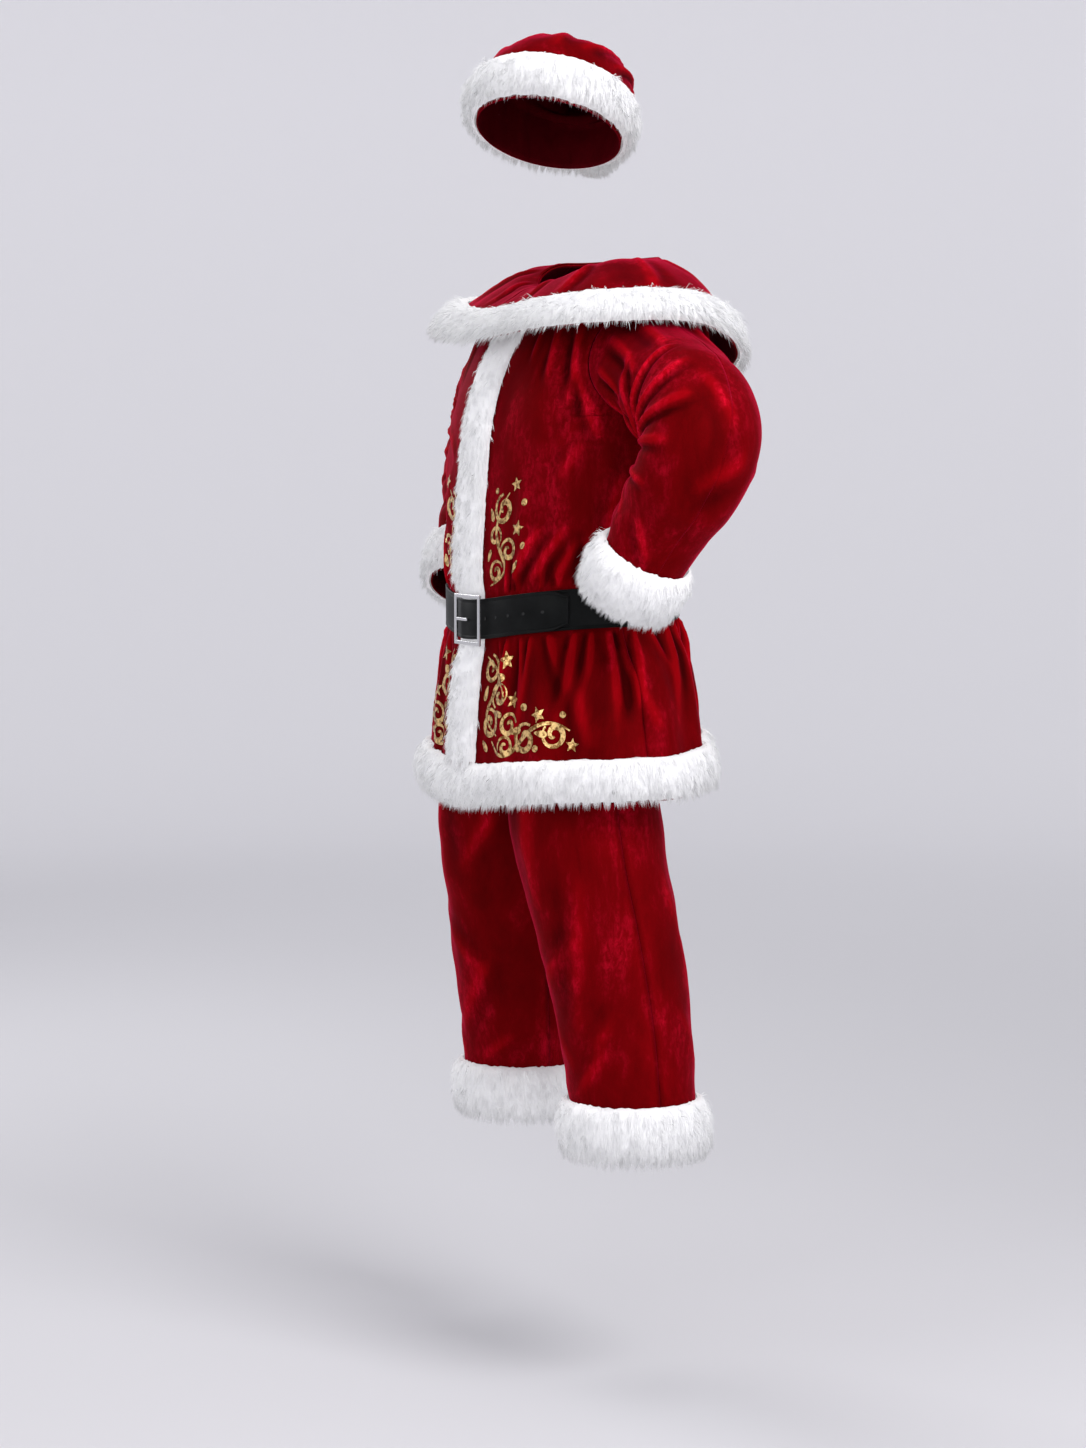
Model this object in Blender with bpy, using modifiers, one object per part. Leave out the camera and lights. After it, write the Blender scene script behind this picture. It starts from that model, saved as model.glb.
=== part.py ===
"""Santa suit, worn and hollow: hat, shoulder cape, belted coat and trousers.

+X is the wearer's left, -Y the front and +Z up, in metres. The tables give heights above the floor
that the wearer stands on, and an empty carries every piece down to the suit's own origin, inside the
neck opening between the shoulders. Each cloth piece is a wall between two sets of points: those of
its own surface, and the same ones moved in by the cloth's thickness.
"""
import math
from types import SimpleNamespace

import bmesh
import bpy
import numpy as np
from mathutils import Matrix

# Driving sizes
ORIGIN = (0.0, 0.044, 1.468)     # middle of the neck opening, above the floor
CLOTH = 0.002                    # velvet wall
SEAM = 0.0003                    # gap between two pieces at a seam
BACKING = 0.0008                 # from a cloth wall out to the fur band's backing
FUR_FACETS = 5                   # points across a fur band's round front
PILE = 0.018                     # fur on the hem and the leg cuffs
CUFF_PILE = 0.015                # fur on the sleeve cuffs
PLACKET_WIDTH, PLACKET_TOP = 0.072, 0.722   # it ends a little under the neck's edge, below the cape
PRESSED_BY_BELT = 0.72           # share of the placket's pile that the belt presses flat
PRESSED_BY_CAPE = (0.45, 0.33)   # and the cape, from the chest up and again by the neck
BELT_WIDTH = 0.052
BELT_THICK = 0.003
BELT_OFF = 0.0008                # from the coat out to the belt
BELT_START, BELT_STOP = math.radians(5), math.radians(428)   # its tail laps over its own beginning
BELT_LAP = (math.radians(346), math.radians(12))             # where it starts to rise for that, and over what
PLACKET_RISE, PLACKET_REACH = 0.0058, math.radians(20)       # how far it stands out over the placket
SLEEVE_SIDES = 16                # points round a sleeve, half of which follow each half of the armhole
FRONT_SPANS = 8                  # spans across a front panel above the belt, twice that below it
BACK_SPANS = 16
QUARTER = math.pi / 2


class Sections:
    """A table of named columns, read as smooth curves over its first column."""

    def __init__(self, columns, *rows):
        self.names = columns.split()
        self.rows = np.array(rows, float)
        self.slopes = np.gradient(self.rows, self.rows[:, 0], axis=0)

    def at(self, where):
        keys = self.rows[:, 0]
        where = np.clip(np.asarray(where, float), keys[0], keys[-1])
        i = np.clip(np.searchsorted(keys, where) - 1, 0, len(keys) - 2)
        span = (keys[i + 1] - keys[i])[..., None]
        t = (where - keys[i])[..., None] / span
        low, high = self.rows[i], self.rows[i + 1]
        leave, arrive = self.slopes[i] * span, self.slopes[i + 1] * span
        value = (low * (1 + 2 * t) * (1 - t) ** 2 + leave * t * (1 - t) ** 2
                 + high * t * t * (3 - 2 * t) + arrive * t * t * (t - 1))
        return SimpleNamespace(**{name: value[..., k] for k, name in enumerate(self.names)})


# The coat's rings from the hem to the neck. "up" runs along the cloth at the wearer's side.
# A drop lowers the ring there below its height at the sides.
COAT = Sections(
    "up height half_width front back centre square front_drop back_drop",
    (-0.020, 0.770, 0.252, 0.146, 0.150, -0.006, 2.30, 0.022, -0.045),
    (0.000, 0.790, 0.250, 0.145, 0.149, -0.006, 2.30, 0.022, -0.045),
    (0.050, 0.841, 0.243, 0.142, 0.145, -0.006, 2.30, 0.021, -0.043),
    (0.100, 0.892, 0.232, 0.138, 0.140, -0.007, 2.35, 0.021, -0.038),
    (0.160, 0.952, 0.211, 0.131, 0.135, -0.009, 2.40, 0.022, -0.031),
    (0.203, 0.998, 0.1855, 0.1232, 0.1315, -0.012, 2.50, 0.022, -0.022),
    (0.233, 1.028, 0.1840, 0.1228, 0.1308, -0.012, 2.50, 0.022, -0.022),
    (0.263, 1.058, 0.1855, 0.1232, 0.1315, -0.012, 2.50, 0.022, -0.022),
    (0.300, 1.093, 0.199, 0.128, 0.143, -0.009, 2.45, 0.020, -0.020),
    (0.345, 1.136, 0.205, 0.129, 0.149, -0.006, 2.40, 0.018, -0.018),
    (0.415, 1.204, 0.210, 0.132, 0.152, 0.002, 2.40, 0.015, -0.015),
    (0.495, 1.280, 0.212, 0.135, 0.150, 0.014, 2.40, 0.012, -0.012),
    (0.555, 1.340, 0.205, 0.127, 0.140, 0.024, 2.35, 0.014, -0.010),
    (0.610, 1.392, 0.190, 0.112, 0.124, 0.033, 2.30, 0.018, -0.006),
    (0.650, 1.420, 0.160, 0.099, 0.106, 0.038, 2.20, 0.024, -0.002),
    (0.695, 1.446, 0.118, 0.086, 0.092, 0.042, 2.10, 0.030, -0.001),
    (0.740, 1.468, 0.078, 0.076, 0.080, 0.044, 2.00, 0.035, -0.006),
)
HEM, BELT_MIDDLE, NECK = 0.0, 0.233, 0.740
BELT_LOW, BELT_HIGH = BELT_MIDDLE - BELT_WIDTH / 2, BELT_MIDDLE + BELT_WIDTH / 2
SKIRT_UPS = (HEM, 0.025, 0.050, 0.085, 0.120, 0.150, 0.172, 0.190)
WAIST_UPS = (BELT_LOW - 0.004, BELT_MIDDLE, BELT_HIGH + 0.004, 0.300, 0.345, 0.415)
SHOULDER_UPS = (0.665, 0.703, NECK)
ARMHOLE_UP, ARMHOLE_TALL, ARMHOLE_WIDE = 0.560, 0.076, math.radians(25)   # middle and half sizes

ARMHOLE_UPS = tuple(ARMHOLE_UP - ARMHOLE_TALL * math.cos(2 * math.pi * k / SLEEVE_SIDES)
                    for k in range(SLEEVE_SIDES // 2 + 1))

# Gathers under the belt, and drapes above it
GATHER_DEPTH = 0.0055
FLAT_FRONT = math.radians(26)    # half the stretch of skirt that hangs flat beside the opening
GATHER_COUNT = 20
DRAPE_ROWS = (
    # degrees round, low end, high end, half width in degrees, depth
    (44, 0.29, 0.42, 6, 0.0040), (62, 0.28, 0.46, 6, 0.0050), (78, 0.30, 0.50, 5, 0.0050),
    (70, 0.44, 0.62, 5, 0.0060), (-40, 0.29, 0.43, 6, 0.0040), (-66, 0.28, 0.48, 6, 0.0050),
    (-74, 0.44, 0.60, 5, 0.0050), (112, 0.29, 0.50, 6, 0.0050), (138, 0.28, 0.44, 7, 0.0055),
    (166, 0.29, 0.40, 7, 0.0045), (-118, 0.29, 0.50, 6, 0.0050), (-148, 0.28, 0.45, 7, 0.0055),
)

# The cape's rings from the neck to its lower edge
CAPE = Sections(
    "down height half_width front back centre square front_drop back_drop",
    (0.00, 1.4705, 0.079, 0.077, 0.081, 0.044, 2.0, 0.035, -0.006),
    (0.25, 1.466, 0.120, 0.096, 0.102, 0.038, 2.0, 0.034, 0.007),
    (0.50, 1.447, 0.166, 0.113, 0.130, 0.033, 2.1, 0.028, 0.014),
    (0.75, 1.420, 0.213, 0.134, 0.161, 0.024, 2.2, 0.022, 0.046),
    (1.00, 1.385, 0.253, 0.150, 0.180, 0.014, 2.3, 0.020, 0.086),
)
CAPE_DOWNS = (0.0, 0.25, 0.5, 0.72, 0.86, 0.97)
CAPE_PILE = 0.016
CAPE_SPANS = 30

# The arms' middle lines bend at the elbow on an arc. The right arm is given to the wearer's left too.
ELBOW_BEND = 0.080
ARM_POINTS = {
    # shoulder, elbow and wrist
    "left": ((0.196, 0.028, 1.342), (0.397, -0.005, 1.242), (0.260, -0.060, 1.028)),
    "right": ((0.196, 0.030, 1.342), (0.372, 0.085, 1.240), (0.258, -0.026, 1.036)),
}
SIDES = {"left": 1, "right": -1}
SLEEVE = Sections(
    # radii to the elbow's outer side and to the front, and how far the cloth lies out from the arm's line
    "along across deep shift",
    (0.000, 0.072, 0.078, 0.000), (0.050, 0.063, 0.078, 0.001), (0.100, 0.067, 0.077, 0.003),
    (0.160, 0.067, 0.075, 0.012), (0.208, 0.067, 0.072, 0.022), (0.255, 0.062, 0.066, 0.010),
    (0.300, 0.056, 0.060, 0.001), (0.360, 0.050, 0.054, 0.000), (0.470, 0.046, 0.048, 0.000),
)
CUFF_ALONGS = (0.358, 0.394, 0.430, 0.438)
CUFF_FROM, SLEEVE_END = CUFF_ALONGS[0], CUFF_ALONGS[-2]
CAP = 0.095                      # stretch over which the armhole's oval turns into the sleeve's
SLEEVE_ALONGS = (0.0, 0.016, 0.040, 0.068, 0.096, 0.125, 0.149, 0.170, 0.190, 0.210, 0.230, 0.252,
                 0.280, 0.318) + CUFF_ALONGS[:-1]
SLEEVE_CREASES = (
    # along, degrees round from the outer side towards the front, half width along, degrees to each side, depth
    (0.193, 176, 0.017, 64, 0.009), (0.224, 178, 0.017, 66, 0.009), (0.163, 158, 0.018, 58, 0.008),
    (0.262, 182, 0.020, 55, 0.006), (0.128, 110, 0.022, 44, 0.006), (0.085, 120, 0.022, 38, 0.005),
    (0.305, 100, 0.024, 50, 0.004), (0.140, 250, 0.024, 42, 0.005), (0.285, 270, 0.024, 46, 0.004),
)

# The trousers: a ring for the two halves together above the crotch, and one for each leg below it
HIPS = Sections(
    "height half_width front back centre square front_drop back_drop",
    (0.78, 0.194, 0.122, 0.134, -0.014, 2.3, 0.0, 0.0), (0.86, 0.191, 0.120, 0.134, -0.013, 2.3, 0.0, 0.0),
    (0.94, 0.186, 0.119, 0.130, -0.012, 2.4, 0.012, -0.012),
    (1.01, 0.1795, 0.1183, 0.1266, -0.012, 2.5, 0.022, -0.022),
)
LEG = Sections(
    "height x y half_width half_depth",
    (0.310, 0.163, 0.018, 0.0790, 0.0800), (0.345, 0.162, 0.018, 0.0800, 0.0808),
    (0.392, 0.160, 0.015, 0.0806, 0.0820), (0.500, 0.151, 0.006, 0.0850, 0.0872),
    (0.620, 0.135, -0.011, 0.0910, 0.0930), (0.720, 0.114, -0.025, 0.0970, 0.0980),
    (0.800, 0.1020, -0.029, 0.0995, 0.0980), (0.900, 0.102, -0.024, 0.0990, 0.101),
)
CROTCH_LOW, CROTCH_HIGH = 0.795, 0.905
LEG_CUFF = (0.314, 0.324, 0.359, 0.394)
LEG_HEIGHTS = LEG_CUFF[1:] + (0.455, 0.515, 0.575, 0.635, 0.690, 0.740, 0.785, 0.820,
               0.855, 0.890, 0.945, 1.0082)
LEG_SPANS = 8
LEG_FOLDS = (
    # height at the middle of the leg's front, rise towards the outer side, half width, depth
    (0.470, 0.060, 0.016, 0.0045), (0.560, -0.080, 0.018, 0.0045), (0.655, 0.090, 0.020, 0.0050),
    (0.730, -0.060, 0.018, 0.0045),
)
WAISTBAND_UPS, WAISTBAND_THICK = (0.214, BELT_MIDDLE, 0.252), 0.003

# The hat, round its brim's middle: the face looks along -Y, and the crown folds over to the back
HAT_PLACE, HAT_TURN, HAT_TIP = (0.010, -0.028, 1.656), math.radians(43), math.radians(-22)
HAT_HALF_WIDTH, HAT_HALF_DEPTH = 0.093, 0.104
BRIM_RISES, BRIM_PILE = (-0.033, -0.027, 0.0, 0.033), 0.020
PIVOT = (0.104, 0.036)           # the crown's folded rings fan out from here, in y and z
CROWN = Sections(
    # turn of each ring in degrees, its start and length out from the pivot, its half width and its shift in x
    "turn start length half_width shift",
    (0, 0.000, 0.208, 0.0930, 0.000), (10, 0.001, 0.186, 0.0905, 0.001), (20, 0.002, 0.156, 0.0855, 0.004),
    (30, 0.002, 0.127, 0.0790, 0.007), (45, 0.003, 0.096, 0.0690, 0.009), (60, 0.006, 0.073, 0.0580, 0.010),
    (80, 0.012, 0.054, 0.0470, 0.008), (105, 0.022, 0.042, 0.0360, 0.004), (130, 0.032, 0.033, 0.0260, 0.001),
    (152, 0.041, 0.026, 0.0170, 0.000),
)
CROWN_TURNS = (0, 8, 16, 25, 35, 47, 61, 79, 102, 128, 150)
CROWN_SIDES = 20
POMPOM_RADIUS = 0.036

BUCKLE_WIDE, BUCKLE_TALL, BUCKLE_BAR, BUCKLE_THICK = 0.074, 0.066, 0.0055, 0.0035
BUCKLE_ANGLE = math.radians(6)   # the buckle sits a little to the wearer's left of the front's middle
PRONG_THICK, PRONG_TALL = 0.0030, 0.0042


def wave(x):
    """A soft bump: 1 at 0, level and 0 from 1 outwards."""
    x = np.minimum(np.abs(x), 1.0)
    return (1 - x * x) ** 2


def ease(x):
    x = np.clip(x, 0.0, 1.0)
    return x * x * (3 - 2 * x)


def turned(angle):
    """The angle brought within half a turn of straight ahead."""
    return (angle + math.pi) % (2 * math.pi) - math.pi


def oval(angle, half_width, front, back, square):
    """How far out a rounded oval lies from its middle. Angle 0 is straight ahead, +90 degrees the left side."""
    depth = np.where(np.cos(angle) > 0, front, back)
    return (np.abs(np.sin(angle) / half_width) ** square + np.abs(np.cos(angle) / depth) ** square) ** (-1 / square)


def ring_point(row, angle, out):
    reach = oval(angle, row.half_width, row.front, row.back, row.square) + out
    drop = np.where(np.cos(angle) > 0, row.front_drop, row.back_drop) * np.cos(angle) ** 2
    return np.stack([reach * np.sin(angle), row.centre - reach * np.cos(angle), row.height - drop], -1)


def plain_coat(up, angle):
    """The coat's rings with no folds in them."""
    up, angle = np.broadcast_arrays(np.asarray(up, float), np.asarray(angle, float))
    return ring_point(COAT.at(up), angle, 0.0)


def coat(up, angle):
    up, angle = np.broadcast_arrays(np.asarray(up, float), np.asarray(angle, float))
    around = np.abs(turned(angle))
    beside = ease((around - FLAT_FRONT) / math.radians(14))
    uneven = 1 + 0.35 * np.sin(2 * angle + 0.6) * np.sin(5 * angle)
    swing = GATHER_COUNT * angle + 0.9 * np.sin(3 * angle + 1.0) + 2.2 * np.sin(2 * angle)
    depth = GATHER_DEPTH * ease((BELT_LOW - 0.004 - up) / 0.035) * (1 - 0.25 * ease((0.12 - up) / 0.10))
    out = depth * beside * uneven * np.sin(swing)
    for degrees, low, high, half, drape in DRAPE_ROWS:
        across = turned(angle - math.radians(degrees)) / math.radians(half)
        out = out + drape * wave(across) * wave((up - (low + high) / 2) / ((high - low) / 2))
    return ring_point(COAT.at(up), angle, out)


def cape(down, angle):
    down, angle = np.broadcast_arrays(np.asarray(down, float), np.asarray(angle, float))
    ripple = 0.0035 * ease((down - 0.35) / 0.6) * np.sin(9 * angle + 0.7 * np.sin(2 * angle))
    return ring_point(CAPE.at(down), angle, ripple * ease((np.abs(turned(angle)) - 0.3) / 0.4))


def armhole(around, inset=0.0):
    """A point of the armhole's oval, from its top (0) by the front (a quarter turn) to the armpit."""
    up = ARMHOLE_UP + (ARMHOLE_TALL - inset) * np.cos(around)
    angle = QUARTER - (ARMHOLE_WIDE - inset / COAT.at(ARMHOLE_UP).half_width) * np.sin(around)
    return up, angle


def arm_frame(points, along):
    """The arm's line there, and the directions from it to the elbow's outer side and to the front."""
    shoulder, elbow, wrist = (np.array(p) for p in points)
    upper, lower = (v / np.linalg.norm(v) for v in (elbow - shoulder, wrist - elbow))
    turn = math.acos(float(upper @ lower))
    inward = (lower - upper * float(upper @ lower)) / math.sin(turn)
    first = float(np.linalg.norm(elbow - shoulder)) - ELBOW_BEND * math.tan(turn / 2)
    bent = (np.clip((along - first) / ELBOW_BEND, 0, turn))[..., None]
    after = np.maximum(along - first - ELBOW_BEND * turn, 0.0)[..., None]
    before = np.minimum(along, first)[..., None]
    outward = upper * np.sin(bent) - inward * np.cos(bent)
    run = upper * np.cos(bent) + inward * np.sin(bent)
    line = shoulder + upper * before + ELBOW_BEND * (outward + inward) + run * after
    return line, outward, np.cross(run, outward)


def sleeve(side):
    """The sleeve's surface on that side, over its length and the angle round it."""
    points, mirror = ARM_POINTS[side], SIDES[side]

    def surface(along, around):
        along, around = np.broadcast_arrays(np.asarray(along, float), np.asarray(around, float))
        row = SLEEVE.at(along)
        line, outward, ahead = arm_frame(points, along)
        bulge = 0.0
        for at, degrees, half, spread, depth in SLEEVE_CREASES:
            across = turned(around - math.radians(degrees)) / math.radians(spread)
            bulge = bulge - depth * wave(across) * (wave((along - at - 0.012 * across) / half) - 0.25)
        bulge = bulge * ease((along - 0.06) / 0.05) * ease((CUFF_FROM - along) / 0.03)
        tube = (line + ((row.across + bulge) * np.cos(around) + row.shift)[..., None] * outward
                + ((row.deep + bulge) * np.sin(around))[..., None] * ahead)
        up, angle = armhole(around, SEAM)
        start = coat(up, angle * mirror) * np.array([mirror, 1.0, 1.0])
        carried = start + line - np.array(points[0])
        blend = ease(along / CAP)[..., None]
        return (carried * (1 - blend) + tube * blend) * np.array([mirror, 1.0, 1.0])
    return surface


def leg(side, face):
    """One quarter of the trousers: face is 1 for the front panel and -1 for the back one."""
    mirror = SIDES[side]

    def surface(height, across):
        height, across = np.broadcast_arrays(np.asarray(height, float), np.asarray(across, float))
        hips, low = HIPS.at(height), LEG.at(height)
        angle = across * QUARTER if face > 0 else math.pi - across * QUARTER
        reach = oval(angle, hips.half_width, hips.front, hips.back, hips.square)
        upper = np.stack([reach * np.sin(angle) + SEAM, hips.centre - reach * np.cos(angle)], -1)
        turn = (2 * across - 1) * QUARTER
        fold = 0.0
        for middle, rise, half, depth in LEG_FOLDS:
            line = middle + rise * (across - 0.5) * face
            fold = fold + depth * wave((height - line) / (2 * half)) * wave((across - 0.5) / 0.5)
        lower = np.stack([low.x + (low.half_width + fold) * np.sin(turn),
                          low.y - face * (low.half_depth + fold) * np.cos(turn)], -1)
        blend = ease((CROTCH_HIGH - height) / (CROTCH_HIGH - CROTCH_LOW))[..., None]
        flat = upper * (1 - blend) + lower * blend
        drop = (hips.front_drop if face > 0 else hips.back_drop) * np.cos(angle) ** 2 * (1 - blend[..., 0])
        return np.stack([flat[..., 0] * mirror, flat[..., 1], height - drop], -1)
    return surface


def hat_world(local):
    """A point of the hat's own frame, tipped back, turned with the head and lifted to its place."""
    x, y, z = local[..., 0], local[..., 1], local[..., 2]
    y, z = (y * math.cos(HAT_TIP) - z * math.sin(HAT_TIP), y * math.sin(HAT_TIP) + z * math.cos(HAT_TIP))
    x, y = (x * math.cos(HAT_TURN) - y * math.sin(HAT_TURN), x * math.sin(HAT_TURN) + y * math.cos(HAT_TURN))
    return np.stack([x, y, z], -1) + np.array(HAT_PLACE)


def brim(rise, around):
    """The head opening's ring. The angle round it runs from the front to the wearer's left."""
    rise, around = np.broadcast_arrays(np.asarray(rise, float), np.asarray(around, float))
    return hat_world(np.stack([HAT_HALF_WIDTH * np.sin(around), -HAT_HALF_DEPTH * np.cos(around), rise], -1))


def crown(turn, around):
    turn, around = np.broadcast_arrays(np.asarray(turn, float), np.asarray(around, float))
    row = CROWN.at(turn)
    lean = np.radians(turn)
    ripple = 0.003 * np.sin(3 * around + turn / 14) * ease(turn / 30)
    out = row.start + row.length * (1 + np.cos(around)) / 2 + ripple
    return hat_world(np.stack([row.half_width * np.sin(around) + row.shift, PIVOT[0] - out * np.cos(lean),
                               PIVOT[1] + out * np.sin(lean)], -1))


def moved(surface, u, v, distance, sense=1, base=None, steps=(1e-4, 1e-4)):
    """Points of a surface moved along its normal, or along that of a base without its folds, so that
    the two faces of a wall stay parallel. Sense is -1 where u and v would turn it inwards."""
    u, v = np.broadcast_arrays(np.asarray(u, float), np.asarray(v, float))
    base = base or surface
    du = base(u + steps[0], v) - base(u - steps[0], v)
    dv = base(u, v + steps[1]) - base(u, v - steps[1])
    normal = np.cross(dv, du) * sense
    normal /= np.linalg.norm(normal, axis=-1, keepdims=True)
    return surface(u, v) + normal * np.asarray(distance, float)[..., None]


def smooth_material(name, colour, roughness, metallic=0.0):
    made = bpy.data.materials.new(name)
    made.use_nodes = True
    shader = made.node_tree.nodes["Principled BSDF"]
    shader.inputs["Base Color"].default_value = (*colour, 1.0)
    shader.inputs["Roughness"].default_value = roughness
    shader.inputs["Metallic"].default_value = metallic
    made.diffuse_color = (*colour, 1.0)
    return made


def add_piece(name, points, faces, material):
    mesh = bpy.data.meshes.new(name)
    mesh.from_pydata([tuple(p) for p in points], [], faces)
    work = bmesh.new()
    work.from_mesh(mesh)
    bmesh.ops.recalc_face_normals(work, faces=work.faces)
    work.to_mesh(mesh)
    work.free()
    mesh.materials.append(material)
    mesh.shade_smooth()
    mesh.set_sharp_from_angle(angle=math.radians(50))
    piece = bpy.data.objects.new(name, mesh)
    SUIT.objects.link(piece)
    piece.parent = CARRIER
    return piece


def strip(low, high, closed):
    """Faces between two rows of point numbers, one of which may have twice the other's spans."""
    low_spans, high_spans = (len(row) - (not closed) for row in (low, high))
    if low_spans < high_spans:
        low, high = high, low
    spans, double = min(low_spans, high_spans), low_spans != high_spans
    faces = []
    for i in range(spans):
        near, far = i, (i + 1) % len(high)
        if double:
            after = (2 * i + 2) % len(low)
            faces.append((high[near], high[far], low[after], low[2 * i + 1], low[2 * i]))
        else:
            faces.append((low[near], low[(i + 1) % len(low)], high[far], high[near]))
    return faces


def add_wall(name, outer, inner, closed, material):
    """A cloth wall from rows of outer points and the matching rows of inner points."""
    rows, count = [], 0
    for row in (*outer, *inner):
        rows.append(list(range(count, count + len(row))))
        count += len(row)
    outside, inside = rows[:len(outer)], rows[len(outer):]
    faces = []
    for layer in (outside, inside):
        for low, high in zip(layer, layer[1:]):
            faces += strip(low, high, closed)
    for end in (0, -1):
        faces += strip(outside[end], inside[end], closed)
    if not closed:
        for end in (0, -1):
            for i in range(len(outside) - 1):
                faces.append((outside[i][end], outside[i + 1][end], inside[i + 1][end], inside[i][end]))
    return add_piece(name, np.concatenate([*outer, *inner]), faces, material)


def add_band(name, loops, closed, material):
    """A thick piece from the closed outlines of its cross-sections, in order along it."""
    size = len(loops[0])
    rows = [list(range(i * size, (i + 1) * size)) for i in range(len(loops))]
    faces = []
    for low, high in zip(rows, rows[1:] + ([rows[0]] if closed else [])):
        faces += strip(low, high, True)
    if not closed:
        faces += [tuple(rows[0]), tuple(rows[-1])]
    return add_piece(name, np.concatenate(loops), faces, material)


def wall_on(name, surface, rows, material, closed=False, sense=1, base=None):
    """A wall on a surface. Each row is a pair of its place along the surface and the places across it."""
    outer = [surface(along, across) for along, across in rows]
    inner = [moved(surface, along, across, -CLOTH, sense, base) for along, across in rows]
    return add_wall(name, outer, inner, closed, material)


def fur_outline(places, pile):
    """A band's section: its flat back's places across it, then the places and heights of its round front."""
    middle, half = (places[0] + places[-1]) / 2, (places[-1] - places[0]) / 2
    front = [math.pi * (k + 0.5) / FUR_FACETS for k in range(FUR_FACETS)]
    across = list(places) + [middle + half * math.cos(a) for a in front]
    return np.array(across), np.array([0.0] * len(places) + [pile * math.sin(a) ** 0.6 for a in front]) + BACKING


def fur_on(name, surface, places, around, pile, material, closed, sense=1, base=None):
    """A fur band on a surface. Its back has the same rows as the cloth under it, so that it clears the folds."""
    across, out = fur_outline(places, pile)
    loops = [moved(surface, across, place, out, sense, base) for place in around]
    return add_band(name, loops, closed, material)


def make_coat(velvet):
    gap = SEAM / 2 / COAT.at(ARMHOLE_UP).half_width
    cut = [math.sin(2 * math.pi * k / SLEEVE_SIDES) * ARMHOLE_WIDE for k in range(len(ARMHOLE_UPS))]
    places = [(up, 0.0, 2) for up in SKIRT_UPS] + [(up, 0.0, 1) for up in WAIST_UPS]
    places += [(up, away, 1) for up, away in zip(ARMHOLE_UPS, cut)] + [(up, 0.0, 1) for up in SHOULDER_UPS]
    for side, mirror in SIDES.items():
        rows = [(up, mirror * np.linspace(gap, QUARTER - gap - away, FRONT_SPANS * fine + 1))
                for up, away, fine in places]
        wall_on(f"coat_front_{side}", coat, rows, velvet, base=plain_coat)
    rows = [(up, np.linspace(QUARTER + gap + away, 3 * QUARTER - gap - away, BACK_SPANS * fine + 1))
            for up, away, fine in places]
    wall_on("coat_back", coat, rows, velvet, base=plain_coat)


def make_sleeves(velvet, fur):
    """Each sleeve is a front and a back piece, sewn along the underarm and along the outer side."""
    gap = SEAM / 2 / SLEEVE.at(CUFF_FROM).across
    for side, mirror in SIDES.items():
        surface = sleeve(side)
        for word, start in (("front", 0.0), ("back", math.pi)):
            around = np.linspace(start + gap, start + math.pi - gap, SLEEVE_SIDES // 2 + 1)
            wall_on(f"sleeve_{word}_{side}", surface, [(along, around) for along in SLEEVE_ALONGS], velvet, sense=mirror)
        around = np.linspace(0, 2 * math.pi, SLEEVE_SIDES, endpoint=False)
        fur_on(f"sleeve_cuff_{side}", surface, CUFF_ALONGS, around, CUFF_PILE, fur, True, mirror)


def make_coat_fur(fur):
    gap = SEAM / COAT.at(HEM).front
    around = np.linspace(gap, 2 * math.pi - gap, 2 * (2 * FRONT_SPANS + BACK_SPANS) + 1)
    fur_on("coat_hem_fur", coat, (HEM - 0.010,) + SKIRT_UPS[:3], around, PILE, fur, False, base=plain_coat)
    loops = []
    low = (SKIRT_UPS[2] + 0.0016,) + SKIRT_UPS[3:]
    for up in low + WAIST_UPS + ARMHOLE_UPS + SHOULDER_UPS[:-1] + (PLACKET_TOP,):
        half = math.atan2(PLACKET_WIDTH / 2, COAT.at(up).front)
        under_belt = PRESSED_BY_BELT * ease((0.062 - abs(up - BELT_MIDDLE)) / 0.028)
        under_cape = PRESSED_BY_CAPE[0] * ease((up - 0.54) / 0.08) + PRESSED_BY_CAPE[1] * ease((up - 0.65) / 0.05)
        pile = PILE * (1 - under_belt) * (1 - under_cape)
        angle, out = fur_outline((-half, 0.0, half), pile)
        loops.append(moved(coat, up, angle, out + 0.0003, base=plain_coat))
    add_band("coat_placket", loops, False, fur)


def belt_depth(angle):
    """From the coat's surface out to the belt's inner face: it rides over the placket, and its end
    comes round over its own beginning."""
    placket = PLACKET_RISE * np.exp(-(turned(angle) / PLACKET_REACH) ** 4)
    over = (BELT_THICK + 2 * SEAM) * ease((angle - BELT_LAP[0]) / BELT_LAP[1])
    return BELT_OFF + placket + over


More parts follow.
